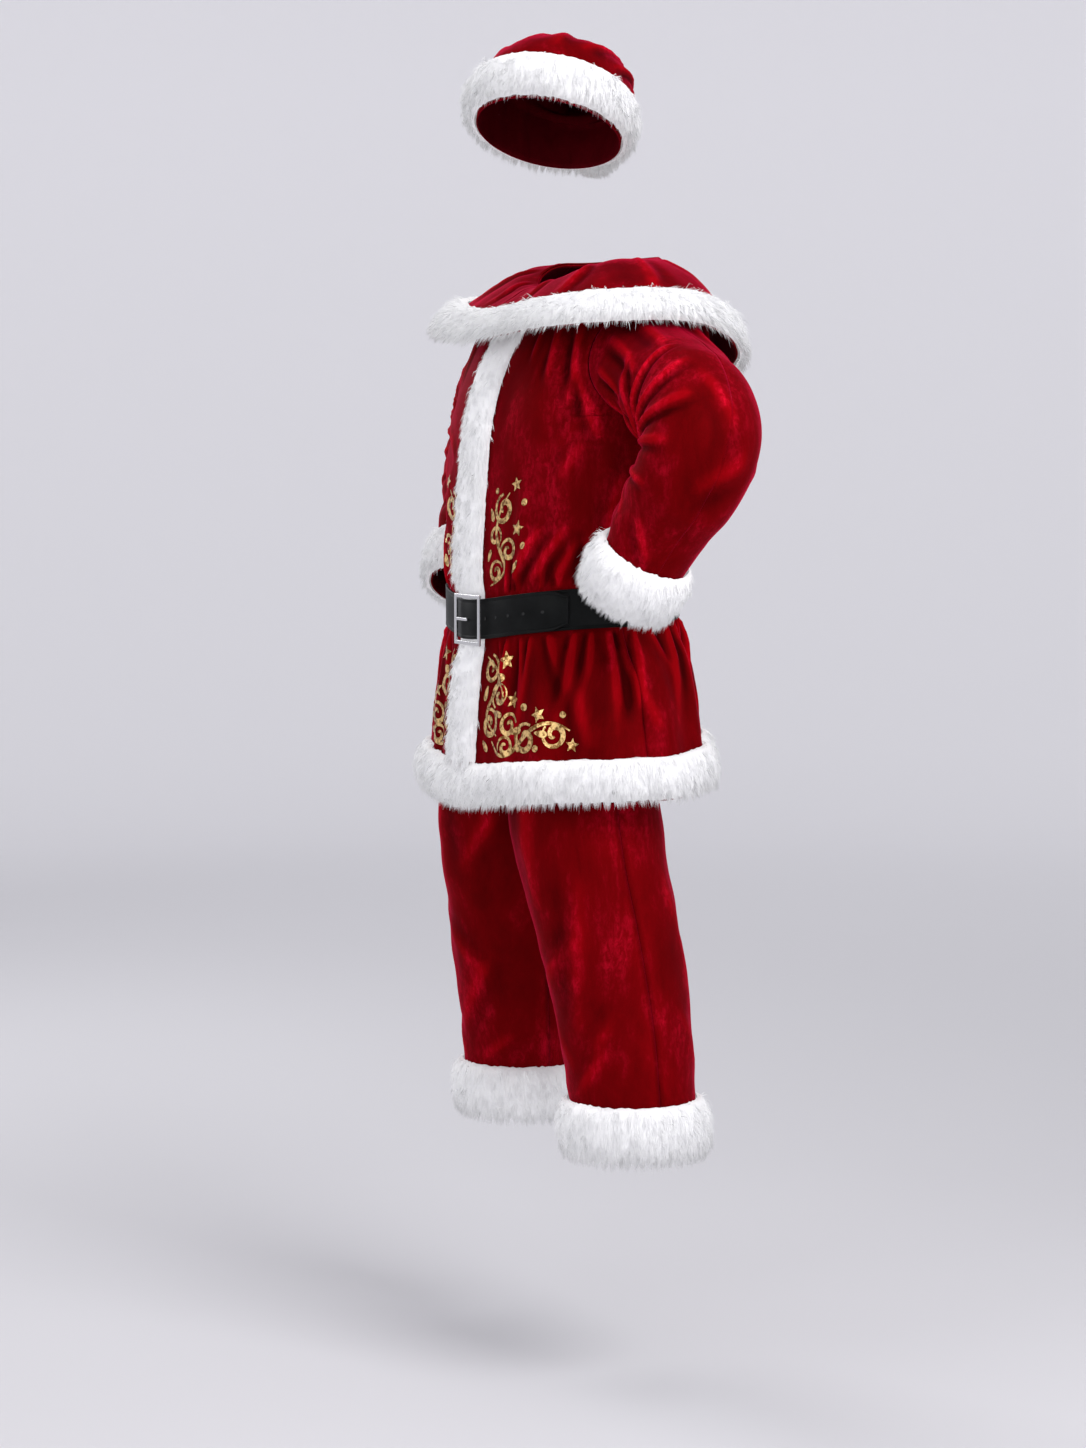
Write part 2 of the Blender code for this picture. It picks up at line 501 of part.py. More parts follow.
def make_belt(leather, steel):
    step = QUARTER / FRONT_SPANS
    angles = [BELT_START] + [k * step for k in range(1, int(BELT_STOP / step) + 1)] + [BELT_STOP]
    loops = []
    for angle in angles:
        depth = float(belt_depth(angle))
        half = BELT_WIDTH / 2 * (0.80 if angle == BELT_STOP else 1.0)
        ups = BELT_MIDDLE + np.array([-half, half, half, -half])
        out = depth + np.array([0.0, 0.0, BELT_THICK, BELT_THICK])
        loops.append(moved(plain_coat, ups, angle, out))
    add_band("belt_strap", loops, False, leather)

    top = float(belt_depth(2 * math.pi)) + BELT_THICK + 0.0005
    back, front = (moved(plain_coat, BELT_MIDDLE, BUCKLE_ANGLE, out) for out in (top, top + BUCKLE_THICK))
    facing = math.atan2(front[0] - back[0], back[1] - front[1])
    bpy.ops.mesh.primitive_cube_add(size=1)
    frame = bpy.context.object
    frame.name = "belt_buckle"
    frame.data.transform(scaled(BUCKLE_WIDE, BUCKLE_THICK, BUCKLE_TALL))
    bpy.ops.mesh.primitive_cube_add(size=1)
    opening = bpy.context.object
    opening.name = "buckle_opening"
    opening.data.transform(scaled(BUCKLE_WIDE - 2 * BUCKLE_BAR, 3 * BUCKLE_THICK, BUCKLE_TALL - 2 * BUCKLE_BAR))
    opening.hide_render = True
    opening.display_type = "WIRE"
    cut = frame.modifiers.new("opening", "BOOLEAN")
    cut.operation, cut.object = "DIFFERENCE", opening
    round_off(frame, 0.0012, 2)
    bpy.ops.mesh.primitive_cube_add(size=1)
    prong = bpy.context.object
    prong.name = "buckle_prong"
    prong.data.transform(scaled(BUCKLE_WIDE / 2 - BUCKLE_BAR - 0.0012, PRONG_THICK, PRONG_TALL))
    round_off(prong, 0.0010, 2)
    for piece, x in ((frame, 0.0), (opening, 0.0), (prong, -(BUCKLE_WIDE / 2 - BUCKLE_BAR) / 2)):
        for collection in piece.users_collection:
            collection.objects.unlink(piece)
        (CUTTERS if piece is opening else SUIT).objects.link(piece)
        piece.parent = CARRIER
        piece.location = (back + front) / 2 + x * np.array([math.cos(facing), math.sin(facing), 0.0])
        piece.rotation_euler.z = facing
        if piece is not opening:
            piece.data.materials.append(steel)
            piece.data.shade_smooth()
            piece.data.set_sharp_from_angle(angle=math.radians(50))


def scaled(x, y, z):
    return Matrix.Diagonal((x, y, z, 1.0))


def round_off(piece, width, segments):
    bevel = piece.modifiers.new("rounded", "BEVEL")
    bevel.width, bevel.segments, bevel.limit_method = width, segments, "ANGLE"


def make_cape(velvet, fur):
    gap = SEAM / CAPE.at(0.0).front
    across = np.linspace(gap, 2 * math.pi - gap, CAPE_SPANS + 1)
    wall_on("cape_body", cape, [(down, across) for down in CAPE_DOWNS], velvet, sense=-1)
    fur_on("cape_fur", cape, CAPE_DOWNS[-3:] + (1.0,), across, CAPE_PILE, fur, False, sense=-1)


def make_trousers(velvet, fur):
    gap = SEAM / 2 / 0.25
    across = np.linspace(gap, 1 - gap, LEG_SPANS + 1)
    for side, mirror in SIDES.items():
        for face, word in ((1, "front"), (-1, "back")):
            rows = [(height, across) for height in LEG_HEIGHTS]
            wall_on(f"trouser_{word}_{side}", leg(side, face), rows, velvet, sense=mirror * face)

        def whole(height, around):
            row = LEG.at(height)
            return np.stack([(row.x + row.half_width * np.sin(around)) * mirror,
                             row.y - row.half_depth * np.cos(around),
                             np.broadcast_to(height, np.shape(around)).astype(float)], -1)
        around = np.linspace(0, 2 * math.pi, 2 * LEG_SPANS, endpoint=False)
        fur_on(f"leg_cuff_{side}", whole, LEG_CUFF, around, PILE, fur, True, sense=mirror)


def make_waistband(velvet):
    """The band lies inside the coat, where the belt draws the coat in on it."""
    sides = 2 * FRONT_SPANS + BACK_SPANS
    around = np.linspace(0, 2 * math.pi, sides, endpoint=False)
    depth = CLOTH + 2 * SEAM
    outer, inner = ([moved(plain_coat, up, around, -deep) for up in WAISTBAND_UPS]
                    for deep in (depth, depth + WAISTBAND_THICK))
    add_wall("trouser_waistband", outer, inner, True, velvet)


def make_hat(velvet, fur):
    around = np.linspace(0, 2 * math.pi, CROWN_SIDES, endpoint=False)
    low = BRIM_RISES[1:-1]
    outer = [brim(rise, around) for rise in low] + [crown(turn, around) for turn in CROWN_TURNS]
    inner = [moved(brim, rise, around, -CLOTH) for rise in low + BRIM_RISES[-1:]]
    inner += [moved(crown, turn, around, -CLOTH, steps=(1e-2, 1e-4)) for turn in CROWN_TURNS[1:]]
    add_wall("hat_crown", outer, inner, True, velvet)
    fur_on("hat_brim", brim, BRIM_RISES, around, BRIM_PILE, fur, True)

    bpy.ops.mesh.primitive_uv_sphere_add(segments=16, ring_count=10, radius=POMPOM_RADIUS)
    pompom = bpy.context.object
    pompom.name = "hat_pompom"
    for collection in pompom.users_collection:
        collection.objects.unlink(pompom)
    SUIT.objects.link(pompom)
    pompom.parent = CARRIER
    end = CROWN.at(CROWN_TURNS[-1])
    lean = math.radians(CROWN_TURNS[-1])
    out = float(end.start + end.length / 2)
    down = math.sqrt((POMPOM_RADIUS + 0.0007) ** 2 - (float(end.length) / 2 - CLOTH) ** 2)
    local = np.array([0.0, PIVOT[0] - out * math.cos(lean) + down * math.sin(lean),
                      PIVOT[1] + out * math.sin(lean) + down * math.cos(lean)])
    pompom.location = hat_world(local)
    pompom.data.materials.append(fur)
    pompom.data.shade_smooth()


for old in list(bpy.data.objects):
    bpy.data.objects.remove(old)
SUIT = bpy.data.collections.new("santa_suit")
CUTTERS = bpy.data.collections.new("cutters")
for made in (SUIT, CUTTERS):
    bpy.context.scene.collection.children.link(made)
CARRIER = bpy.data.objects.new("carrier", None)
CARRIER.location = [-value for value in ORIGIN]
SUIT.objects.link(CARRIER)

VELVET = smooth_material("velvet", (0.24, 0.0, 0.012), 0.75)
FUR = smooth_material("fur", (0.86, 0.86, 0.88), 0.9)
LEATHER = smooth_material("leatherette", (0.012, 0.012, 0.013), 0.45)
STEEL = smooth_material("steel", (0.62, 0.62, 0.63), 0.28, 1.0)

make_hat(VELVET, FUR)
make_cape(VELVET, FUR)
make_coat(VELVET)
make_sleeves(VELVET, FUR)
make_coat_fur(FUR)
make_belt(LEATHER, STEEL)
make_trousers(VELVET, FUR)
make_waistband(VELVET)
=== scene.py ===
"""The looks of a worn santa suit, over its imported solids.

Each velvet piece is a thin shell on its solid's own surface, with the finer folds added, and each fur band
is a soft undercoat with strands combed over it. Lengths are in metres, but in millimetres in the tables of
sections and for a ridge's width and height. The tables give heights above the floor, like the solids' own,
and ORIGIN takes them down to the suit's frame.
"""
import math
from math import pi, radians
from types import SimpleNamespace

import bmesh
import bpy
import numpy as np
from numpy import arange, array, concatenate, cos, linspace, sin, stack
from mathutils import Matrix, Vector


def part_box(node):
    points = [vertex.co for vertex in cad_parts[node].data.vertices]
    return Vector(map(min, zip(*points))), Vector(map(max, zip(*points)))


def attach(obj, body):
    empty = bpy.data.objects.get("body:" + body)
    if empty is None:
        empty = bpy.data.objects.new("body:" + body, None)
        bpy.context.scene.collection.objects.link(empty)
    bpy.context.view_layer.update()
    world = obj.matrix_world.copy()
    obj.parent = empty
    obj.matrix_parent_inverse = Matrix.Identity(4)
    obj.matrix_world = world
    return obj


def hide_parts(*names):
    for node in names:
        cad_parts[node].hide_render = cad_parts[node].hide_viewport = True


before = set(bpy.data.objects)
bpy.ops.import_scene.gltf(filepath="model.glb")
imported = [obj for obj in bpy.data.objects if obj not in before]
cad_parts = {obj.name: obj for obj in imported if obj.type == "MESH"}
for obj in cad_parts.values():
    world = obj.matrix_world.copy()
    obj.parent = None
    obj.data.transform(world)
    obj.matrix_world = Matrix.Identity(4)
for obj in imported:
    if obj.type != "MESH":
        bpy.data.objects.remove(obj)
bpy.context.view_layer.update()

ORIGIN = array((0.0, 0.044, 1.468))
QUARTER = pi / 2
SEAM = 0.0003                    # gap between two sewn neighbours
SHELL = 0.0016                   # thickness of the velvet shells
BACKING = 0.0008                 # how far a fur band's backing lies off the cloth under it
PILE, CUFF_PILE, CAPE_PILE, BRIM_PILE = 0.018, 0.015, 0.016, 0.020
PLACKET_WIDTH, PLACKET_TOP = 0.072, 0.722
PRESSED_BY_BELT, PRESSED_BY_CAPE, PRESSED_NEAR_NECK = 0.72, 0.45, 0.33    # shares of the placket's pile


def table(text):
    """Rows of numbers, with a comma after each."""
    return array([row.split() for row in text.split(",") if row.strip()], float)


class Sections:
    """A table of named columns, read as smooth curves over its first column."""

    def __init__(self, columns, text):
        self.names = columns.split()
        self.rows = table(text) * [1 if name in ("down", "square", "turn") else 0.001 for name in self.names]
        self.slopes = np.gradient(self.rows, self.rows[:, 0], axis=0)

    def at(self, where):
        keys = self.rows[:, 0]
        where = np.clip(np.asarray(where, float), keys[0], keys[-1])
        i = np.clip(np.searchsorted(keys, where) - 1, 0, len(keys) - 2)
        span = (keys[i + 1] - keys[i])[..., None]
        t = (where - keys[i])[..., None] / span
        low, high = self.rows[i], self.rows[i + 1]
        leave, arrive = self.slopes[i] * span, self.slopes[i + 1] * span
        value = (low * (1 + 2 * t) * (1 - t) ** 2 + leave * t * (1 - t) ** 2
                 + high * t * t * (3 - 2 * t) + arrive * t * t * (t - 1))
        return SimpleNamespace(**{name: value[..., k] for k, name in enumerate(self.names)})


# The coat's rings from the hem to the neck. "up" runs along the cloth at the wearer's side.
# A drop lowers the ring there below its height at the sides.
COAT = Sections("up height half_width front back centre square front_drop back_drop", """
    -20 770 252 146 150 -6 2.3 22 -45, 0 790 250 145 149 -6 2.3 22 -45, 50 841 243 142 145 -6 2.3 21 -43,
    100 892 232 138 140 -7 2.35 21 -38, 160 952 211 131 135 -9 2.4 22 -31,
    203 998 185.5 123.2 131.5 -12 2.5 22 -22, 233 1028 184 122.8 130.8 -12 2.5 22 -22,
    263 1058 185.5 123.2 131.5 -12 2.5 22 -22, 300 1093 199 128 143 -9 2.45 20 -20,
    345 1136 205 129 149 -6 2.4 18 -18, 415 1204 210 132 152 2 2.4 15 -15,
    495 1280 212 135 150 14 2.4 12 -12, 555 1340 205 127 140 24 2.35 14 -10,
    610 1392 190 112 124 33 2.3 18 -6, 650 1420 160 99 106 38 2.2 24 -2, 695 1446 118 86 92 42 2.1 30 -1,
    740 1468 78 76 80 44 2 35 -6""")
HEM, HEM_BAND_TOP, BELT_MIDDLE, NECK = 0.0, 0.050, 0.233, 0.740
BELT_WIDTH, BELT_THICK, BELT_OFF = 0.052, 0.003, 0.0008
BELT_LOW, BELT_HIGH = BELT_MIDDLE - BELT_WIDTH / 2, BELT_MIDDLE + BELT_WIDTH / 2
BELT_START, BELT_LAP, BELT_STOP = radians(5), radians(346), radians(428)     # it laps over its own beginning
PLACKET_RISE, PLACKET_REACH = 0.0058, radians(20)     # how the belt rises over the placket
BELT_HOLES = (22, 31, 40, 49, 58, -16)                # degrees round
ARMHOLE_UP, ARMHOLE_TALL, ARMHOLE_WIDE = 0.560, 0.076, radians(25)   # middle and half sizes

# Gathers under the belt, and drapes above it: degrees round, low end, high end, half width in degrees, depth
GATHER_DEPTH = 0.0055
FLAT_FRONT = radians(26)         # half the stretch of skirt that hangs flat beside the opening
GATHER_COUNT = 20
DRAPE_ROWS = table("""
    44 0.29 0.42 6 0.004, 62 0.28 0.46 6 0.005, 78 0.3 0.5 5 0.005, 70 0.44 0.62 5 0.006,
    -40 0.29 0.43 6 0.004, -66 0.28 0.48 6 0.005, -74 0.44 0.6 5 0.005, 112 0.29 0.5 6 0.005,
    138 0.28 0.44 7 0.0055, 166 0.29 0.4 7 0.0045, -118 0.29 0.5 6 0.005, -148 0.28 0.45 7 0.0055""")

# The cape's rings from the neck to its lower edge
CAPE = Sections("down height half_width front back centre square front_drop back_drop", """
    0 1470.5 79 77 81 44 2 35 -6, 0.25 1466 120 96 102 38 2 34 7, 0.5 1447 166 113 130 33 2.1 28 14,
    0.75 1420 213 134 161 24 2.2 22 46, 1 1385 253 150 180 14 2.3 20 86""")
CAPE_BAND_FROM = 0.72

# The arms' middle lines bend at the elbow on an arc. The right arm is given to the wearer's left too.
ELBOW_BEND = 0.080
ARM_POINTS = {
    # shoulder, elbow and wrist
    "left": ((0.196, 0.028, 1.342), (0.397, -0.005, 1.242), (0.260, -0.060, 1.028)),
    "right": ((0.196, 0.030, 1.342), (0.372, 0.085, 1.240), (0.258, -0.026, 1.036)),
}
SIDES = {"left": 1, "right": -1}
# The sleeve's radii to the elbow's outer side and to the front, and how far it lies out from the arm's line
SLEEVE = Sections("along across deep shift", """
    0 72 78 0, 50 63 78 1, 100 67 77 3, 160 67 75 12, 208 67 72 22, 255 62 66 10, 300 56 60 1, 360 50 54 0,
    470 46 48 0""")
CUFF_FROM, SLEEVE_END, CUFF_END = 0.358, 0.430, 0.438
CAP = 0.095                      # stretch over which the armhole's oval turns into the sleeve's
# Creases: along, degrees round from the outer side to the front, half width, degrees to each side, depth
SLEEVE_CREASES = table("""
    0.193 176 0.017 64 0.009, 0.224 178 0.017 66 0.009, 0.163 158 0.018 58 0.008, 0.262 182 0.02 55 0.006,
    0.128 110 0.022 44 0.006, 0.085 120 0.022 38 0.005, 0.305 100 0.024 50 0.004, 0.14 250 0.024 42 0.005,
    0.285 270 0.024 46 0.004""")

# The trousers: a ring for the two halves together above the crotch, and one for each leg below it
HIPS = Sections("height half_width front back centre square front_drop back_drop", """
    780 194 122 134 -14 2.3 0 0, 860 191 120 134 -13 2.3 0 0, 940 186 119 130 -12 2.4 12 -12,
    1010 179.5 118.3 126.6 -12 2.5 22 -22""")
LEG = Sections("height x y half_width half_depth", """
    310 163 18 79 80, 345 162 18 80 80.8, 392 160 15 80.6 82, 500 151 6 85 87.2, 620 135 -11 91 93,
    720 114 -25 97 98, 800 102 -29 99.5 98, 900 102 -24 99 101""")
CROTCH_LOW, CROTCH_HIGH = 0.795, 0.905
LEG_CUFF_LOW, LEG_CUFF_HIGH, LEG_LOW, LEG_HIGH = 0.314, 0.394, 0.324, 1.0082
# Folds across the leg: height at its front's middle, rise towards the outer side, half width, depth (the
# solids' own are 5 mm deep)
LEG_FOLDS = table("""
    0.47 0.06 0.016 0.0018, 0.56 -0.08 0.018 0.0018, 0.655 0.09 0.02 0.002, 0.73 -0.06 0.018 0.0018""")

# The hat, round its brim's middle: the face looks along -Y, and the crown folds over to the back
HAT_PLACE, HAT_TURN, HAT_TIP = (0.010, -0.028, 1.656), radians(43), radians(-22)
HAT_HALF_WIDTH, HAT_HALF_DEPTH = 0.093, 0.104
BRIM_LOW, BRIM_HIGH, CROWN_FROM = -0.033, 0.033, -0.027
PIVOT = (0.104, 0.036)           # the crown's folded rings fan out from here, in y and z
# The crown's rings: turn in degrees, start and length out from the pivot, half width, shift in x
CROWN = Sections("turn start length half_width shift", """
    0 0 208 93 0, 10 1 186 90.5 1, 20 2 156 85.5 4, 30 2 127 79 7, 45 3 96 69 9, 60 6 73 58 10,
    80 12 54 47 8, 105 22 42 36 4, 130 32 33 26 1, 152 41 26 17 0""")
CROWN_LAST = 150


def pair(u, v):
    """The two as arrays of one shape."""
    return np.broadcast_arrays(np.asarray(u, float), np.asarray(v, float))


def wave(x):
    """A soft bump: 1 at 0, level and 0 from 1 outwards."""
    x = np.minimum(np.abs(x), 1.0)
    return (1 - x * x) ** 2


def ease(x):
    x = np.clip(x, 0.0, 1.0)
    return x * x * (3 - 2 * x)


def turned(angle):
    """The angle brought within half a turn of straight ahead."""
    return (angle + pi) % (2 * pi) - pi


def oval(angle, half_width, front, back, square):
    """How far out a rounded oval lies from its middle. Angle 0 is ahead, +90 degrees the left side."""
    depth = np.where(cos(angle) > 0, front, back)
    across, ahead = np.abs(sin(angle) / half_width), np.abs(cos(angle) / depth)
    return (across ** square + ahead ** square) ** (-1 / square)


def ring_point(row, angle, out):
    reach = oval(angle, row.half_width, row.front, row.back, row.square) + out
    drop = np.where(cos(angle) > 0, row.front_drop, row.back_drop) * cos(angle) ** 2
    return stack([reach * sin(angle), row.centre - reach * cos(angle), row.height - drop], -1)


def plain_coat(up, angle):
    """The coat's rings with no folds in them."""
    up, angle = pair(up, angle)
    return ring_point(COAT.at(up), angle, 0.0)


def coat(up, angle):
    up, angle = pair(up, angle)
    around = np.abs(turned(angle))
    beside = ease((around - FLAT_FRONT) / radians(14))
    uneven = 1 + 0.35 * sin(2 * angle + 0.6) * sin(5 * angle)
    swing = GATHER_COUNT * angle + 0.9 * sin(3 * angle + 1.0) + 2.2 * sin(2 * angle)
    depth = GATHER_DEPTH * ease((BELT_LOW - 0.004 - up) / 0.035) * (1 - 0.25 * ease((0.12 - up) / 0.10))
    out = depth * beside * uneven * sin(swing)
    for degrees, low, high, half, drape in DRAPE_ROWS:
        across = turned(angle - radians(degrees)) / radians(half)
        out = out + drape * wave(across) * wave((up - (low + high) / 2) / ((high - low) / 2))
    return ring_point(COAT.at(up), angle, out)


def cape(down, angle):
    down, angle = pair(down, angle)
    ripple = 0.0035 * ease((down - 0.35) / 0.6) * sin(9 * angle + 0.7 * sin(2 * angle))
    return ring_point(CAPE.at(down), angle, ripple * ease((np.abs(turned(angle)) - 0.3) / 0.4))


def armhole(around):
    """A point of the armhole's seam, from its top (0) by the front (a quarter turn) to the armpit."""
    up = ARMHOLE_UP + (ARMHOLE_TALL - SEAM) * cos(around)
    return up, QUARTER - (ARMHOLE_WIDE - SEAM / COAT.at(ARMHOLE_UP).half_width) * sin(around)


def arm_frame(points, along):
    """The arm's line there, and the directions from it to the elbow's outer side and to the front."""
    shoulder, elbow, wrist = (array(p) for p in points)
    upper, lower = (v / np.linalg.norm(v) for v in (elbow - shoulder, wrist - elbow))
    turn = math.acos(float(upper @ lower))
    inward = (lower - upper * float(upper @ lower)) / sin(turn)
    first = float(np.linalg.norm(elbow - shoulder)) - ELBOW_BEND * math.tan(turn / 2)
    bent = (np.clip((along - first) / ELBOW_BEND, 0, turn))[..., None]
    after = np.maximum(along - first - ELBOW_BEND * turn, 0.0)[..., None]
    before = np.minimum(along, first)[..., None]
    outward = upper * sin(bent) - inward * cos(bent)
    run = upper * cos(bent) + inward * sin(bent)
    line = shoulder + upper * before + ELBOW_BEND * (outward + inward) + run * after
    return line, outward, np.cross(run, outward)


def sleeve(side):
    """The sleeve's surface on that side, over its length and the angle round it."""
    points, mirror = ARM_POINTS[side], SIDES[side]

    def surface(along, around):
        along, around = pair(along, around)
        row = SLEEVE.at(along)
        line, outward, ahead = arm_frame(points, along)
        bulge = 0.0
        for at, degrees, half, spread, depth in SLEEVE_CREASES:
            across = turned(around - radians(degrees)) / radians(spread)
            bulge = bulge - depth * wave(across) * (wave((along - at - 0.012 * across) / half) - 0.25)
        bulge = bulge * ease((along - 0.06) / 0.05) * ease((CUFF_FROM - along) / 0.03)
        tube = (line + ((row.across + bulge) * cos(around) + row.shift)[..., None] * outward
                + ((row.deep + bulge) * sin(around))[..., None] * ahead)
        up, angle = armhole(around)
        start = coat(up, angle * mirror) * array([mirror, 1.0, 1.0])
        carried = start + line - array(points[0])
        blend = ease(along / CAP)[..., None]
        return (carried * (1 - blend) + tube * blend) * array([mirror, 1.0, 1.0])
    return surface


def leg(side, face):
    """One quarter of the trousers: face is 1 for the front panel and -1 for the back one."""
    mirror = SIDES[side]

    def surface(height, across):
        height, across = pair(height, across)
        hips, low = HIPS.at(height), LEG.at(height)
        angle = across * QUARTER if face > 0 else pi - across * QUARTER
        reach = oval(angle, hips.half_width, hips.front, hips.back, hips.square)
        upper = stack([reach * sin(angle) + SEAM, hips.centre - reach * cos(angle)], -1)
        turn = (2 * across - 1) * QUARTER
        fold = 0.0
        for middle, rise, half, depth in LEG_FOLDS:
            line = middle + rise * (across - 0.5) * face
            fold = fold + depth * wave((height - line) / (2 * half)) * wave((across - 0.5) / 0.5)
        lower = stack([low.x + (low.half_width + fold) * sin(turn),
                       low.y - face * (low.half_depth + fold) * cos(turn)], -1)
        blend = ease((CROTCH_HIGH - height) / (CROTCH_HIGH - CROTCH_LOW))[..., None]
        flat = upper * (1 - blend) + lower * blend
        drop = (hips.front_drop if face > 0 else hips.back_drop) * cos(angle) ** 2 * (1 - blend[..., 0])
        return stack([flat[..., 0] * mirror, flat[..., 1], height - drop], -1)
    return surface


def hat_world(local):
    """A point of the hat's own frame, tipped back, turned with the head and lifted to its place."""
    x, y, z = local[..., 0], local[..., 1], local[..., 2]
    y, z = (y * cos(HAT_TIP) - z * sin(HAT_TIP), y * sin(HAT_TIP) + z * cos(HAT_TIP))
    x, y = (x * cos(HAT_TURN) - y * sin(HAT_TURN), x * sin(HAT_TURN) + y * cos(HAT_TURN))
    return stack([x, y, z], -1) + array(HAT_PLACE)


def brim(rise, around):
    """The head opening's ring. The angle round it runs from the front to the wearer's left."""
    rise, around = pair(rise, around)
    return hat_world(stack([HAT_HALF_WIDTH * sin(around), -HAT_HALF_DEPTH * cos(around), rise], -1))


def crown(turn, around):
    turn, around = pair(turn, around)
    row = CROWN.at(turn)
    lean = np.radians(turn)
    ripple = 0.003 * sin(3 * around + turn / 14) * ease(turn / 30)
    out = row.start + row.length * (1 + cos(around)) / 2 + ripple
    return hat_world(stack([row.half_width * sin(around) + row.shift, PIVOT[0] - out * cos(lean),
                            PIVOT[1] + out * sin(lean)], -1))


def moved(surface, u, v, distance, sense=1, base=None, step=1e-4):
    """Points of a surface moved along its normal, or along that of a base without its folds, so that
    the two faces of a wall stay parallel. Sense is -1 where u and v would turn it inwards."""
    u, v = pair(u, v)
    base = base or surface
    du = base(u + step, v) - base(u - step, v)
    dv = base(u, v + 1e-4) - base(u, v - 1e-4)
    normal = np.cross(dv, du) * sense
    normal /= np.linalg.norm(normal, axis=-1, keepdims=True)
    return surface(u, v) + normal * np.asarray(distance, float)[..., None]


# Finer folds. A row is a ridge from one place of the cloth to another: place along, degrees round (across the
# panel on a leg), the same for its other end, then half width and height in millimetres.
COAT_RIDGES = table("""
    0.27 38 0.345 55 10 4, 0.27 50 0.345 66 9 3.4, 0.272 63 0.325 69 7 3, 0.271 78 0.41 83 11 5,
    0.27 97 0.36 106 10 4.2, 0.48 72 0.4 60 12 2, 0.5 70 0.44 58 12 1.6, 0.64 46 0.56 44 9 2,
    0.275 118 0.4 122 12 4.6, 0.27 139 0.35 143 10 4, 0.272 158 0.42 156 13 4.6, 0.27 181 0.355 184 10 3.8,
    0.272 204 0.41 200 12 4.4, 0.27 226 0.35 222 10 4, 0.272 247 0.4 243 12 4.6, 0.58 122 0.49 152 16 4.2,
    0.585 236 0.495 208 16 4.2, 0.61 150 0.56 178 16 3, 0.27 -40 0.35 -57 10 4, 0.27 -53 0.38 -70 11 4.4,
    0.272 -66 0.33 -72 8 3.4, 0.271 -84 0.4 -80 11 4.8, 0.482 -70 0.395 -48 13 3.8, 0.5 -64 0.44 -35 12 3.4,
    0.186 47 0.07 41 9 3, 0.186 66 0.06 72 10 3.4, 0.186 86 0.08 95 9 3, 0.186 128 0.075 131 10 3.2,
    0.186 171 0.07 166 10 3.2, 0.186 214 0.07 220 10 3.2, 0.186 -49 0.07 -43 9 3,
    0.186 -78 0.065 -84 10 3.4, 0.65 60 0.5 60 7.5 5, 0.65 50 0.53 48 7.5 4, 0.64 40 0.56 36 8 3,
    0.56 60 0.45 74 8 4.5, 0.65 -60 0.5 -60 7.5 5, 0.65 -50 0.53 -48 7.5 4, 0.56 -60 0.45 -74 8 4.5,
    0.65 122 0.5 118 8 4.5, 0.65 238 0.5 242 8 4.5""")
SLEEVE_RIDGES = table("""
    0.196 196 0.112 34 5 5.8, 0.202 190 0.152 30 4.8 5.4, 0.208 186 0.186 34 5 5.8,
    0.214 182 0.222 60 5.4 4.6, 0.262 190 0.262 70 5.6 4.6, 0.186 196 0.084 76 5.4 5.4,
    0.18 190 0.066 118 6.5 5, 0.03 95 0.12 132 7 5, 0.24 190 0.32 92 7 4, 0.028 62 0.12 84 8 4.4,
    0.032 128 0.085 170 7 4, 0.026 28 0.105 42 10 3.6, 0.024 -20 0.1 -34 12 3.2, 0.2 190 0.165 292 9 3.8,
    0.214 186 0.226 298 9 3.8, 0.188 196 0.12 262 10 3.4, 0.292 150 0.345 118 9 3, 0.285 215 0.34 250 9 3,
    0.3 60 0.35 20 10 2.8, 0.165 30 0.21 -8 12 2.6, 0.25 22 0.22 -30 12 2.6""")
LEG_RIDGES = table("""
    0.9 0.35 0.7 0.22 14 3.6, 0.88 0.62 0.64 0.52 16 4, 0.7 0.8 0.48 0.6 15 3.6, 0.56 0.25 0.43 0.55 13 3.2,
    0.61 0.72 0.52 0.3 13 3.4, 0.47 0.78 0.4 0.52 11 3.2, 0.44 0.18 0.398 0.4 10 2.8,
    0.76 0.18 0.66 0.42 14 3.2, 0.52 0.85 0.455 0.66 11 2.8""")
CAPE_RIDGES = table("""
    0.04 62 0.7 48 12 3.2, 0.05 96 0.72 88 13 3.4, 0.05 128 0.72 134 13 3.4, 0.04 160 0.72 172 14 3.4,
    0.04 200 0.72 190 13 3.2, 0.05 236 0.72 226 13 3.4, 0.05 268 0.72 276 13 3.4, 0.04 300 0.7 312 12 3.2,
    0.04 28 0.66 22 10 2.6, 0.04 332 0.66 338 10 2.6""")
CROWN_RIDGES = table("""
    6 40 60 66 9 4, 4 68 44 100 10 4, 5 100 52 126 10 4.2, 3 20 30 8 10 3.4, 5 -36 58 -60 9 4,
    4 -74 46 -98 10 4, 10 -12 70 6 9 3.6, 30 84 100 64 9 3.6, 30 -80 100 -58 9 3.6, 60 150 120 130 8 3,
    60 -150 120 -130 8 3""")

# The metres in one unit of each direction of the cloth, along it and round or across it
COAT_SCALE, SLEEVE_SCALE, LEG_SCALE = (1.0, 0.17), (1.0, 0.066), (1.0, 0.25)
CAPE_SCALE, CROWN_SCALE = (0.2, 0.19), (0.0022, 0.085)


def crease(beside):
    """A crest with a trough along one side of it."""
    return np.exp(-(1.25 * beside) ** 2) - 0.65 * np.exp(-(1.15 * (beside + 1.4)) ** 2)


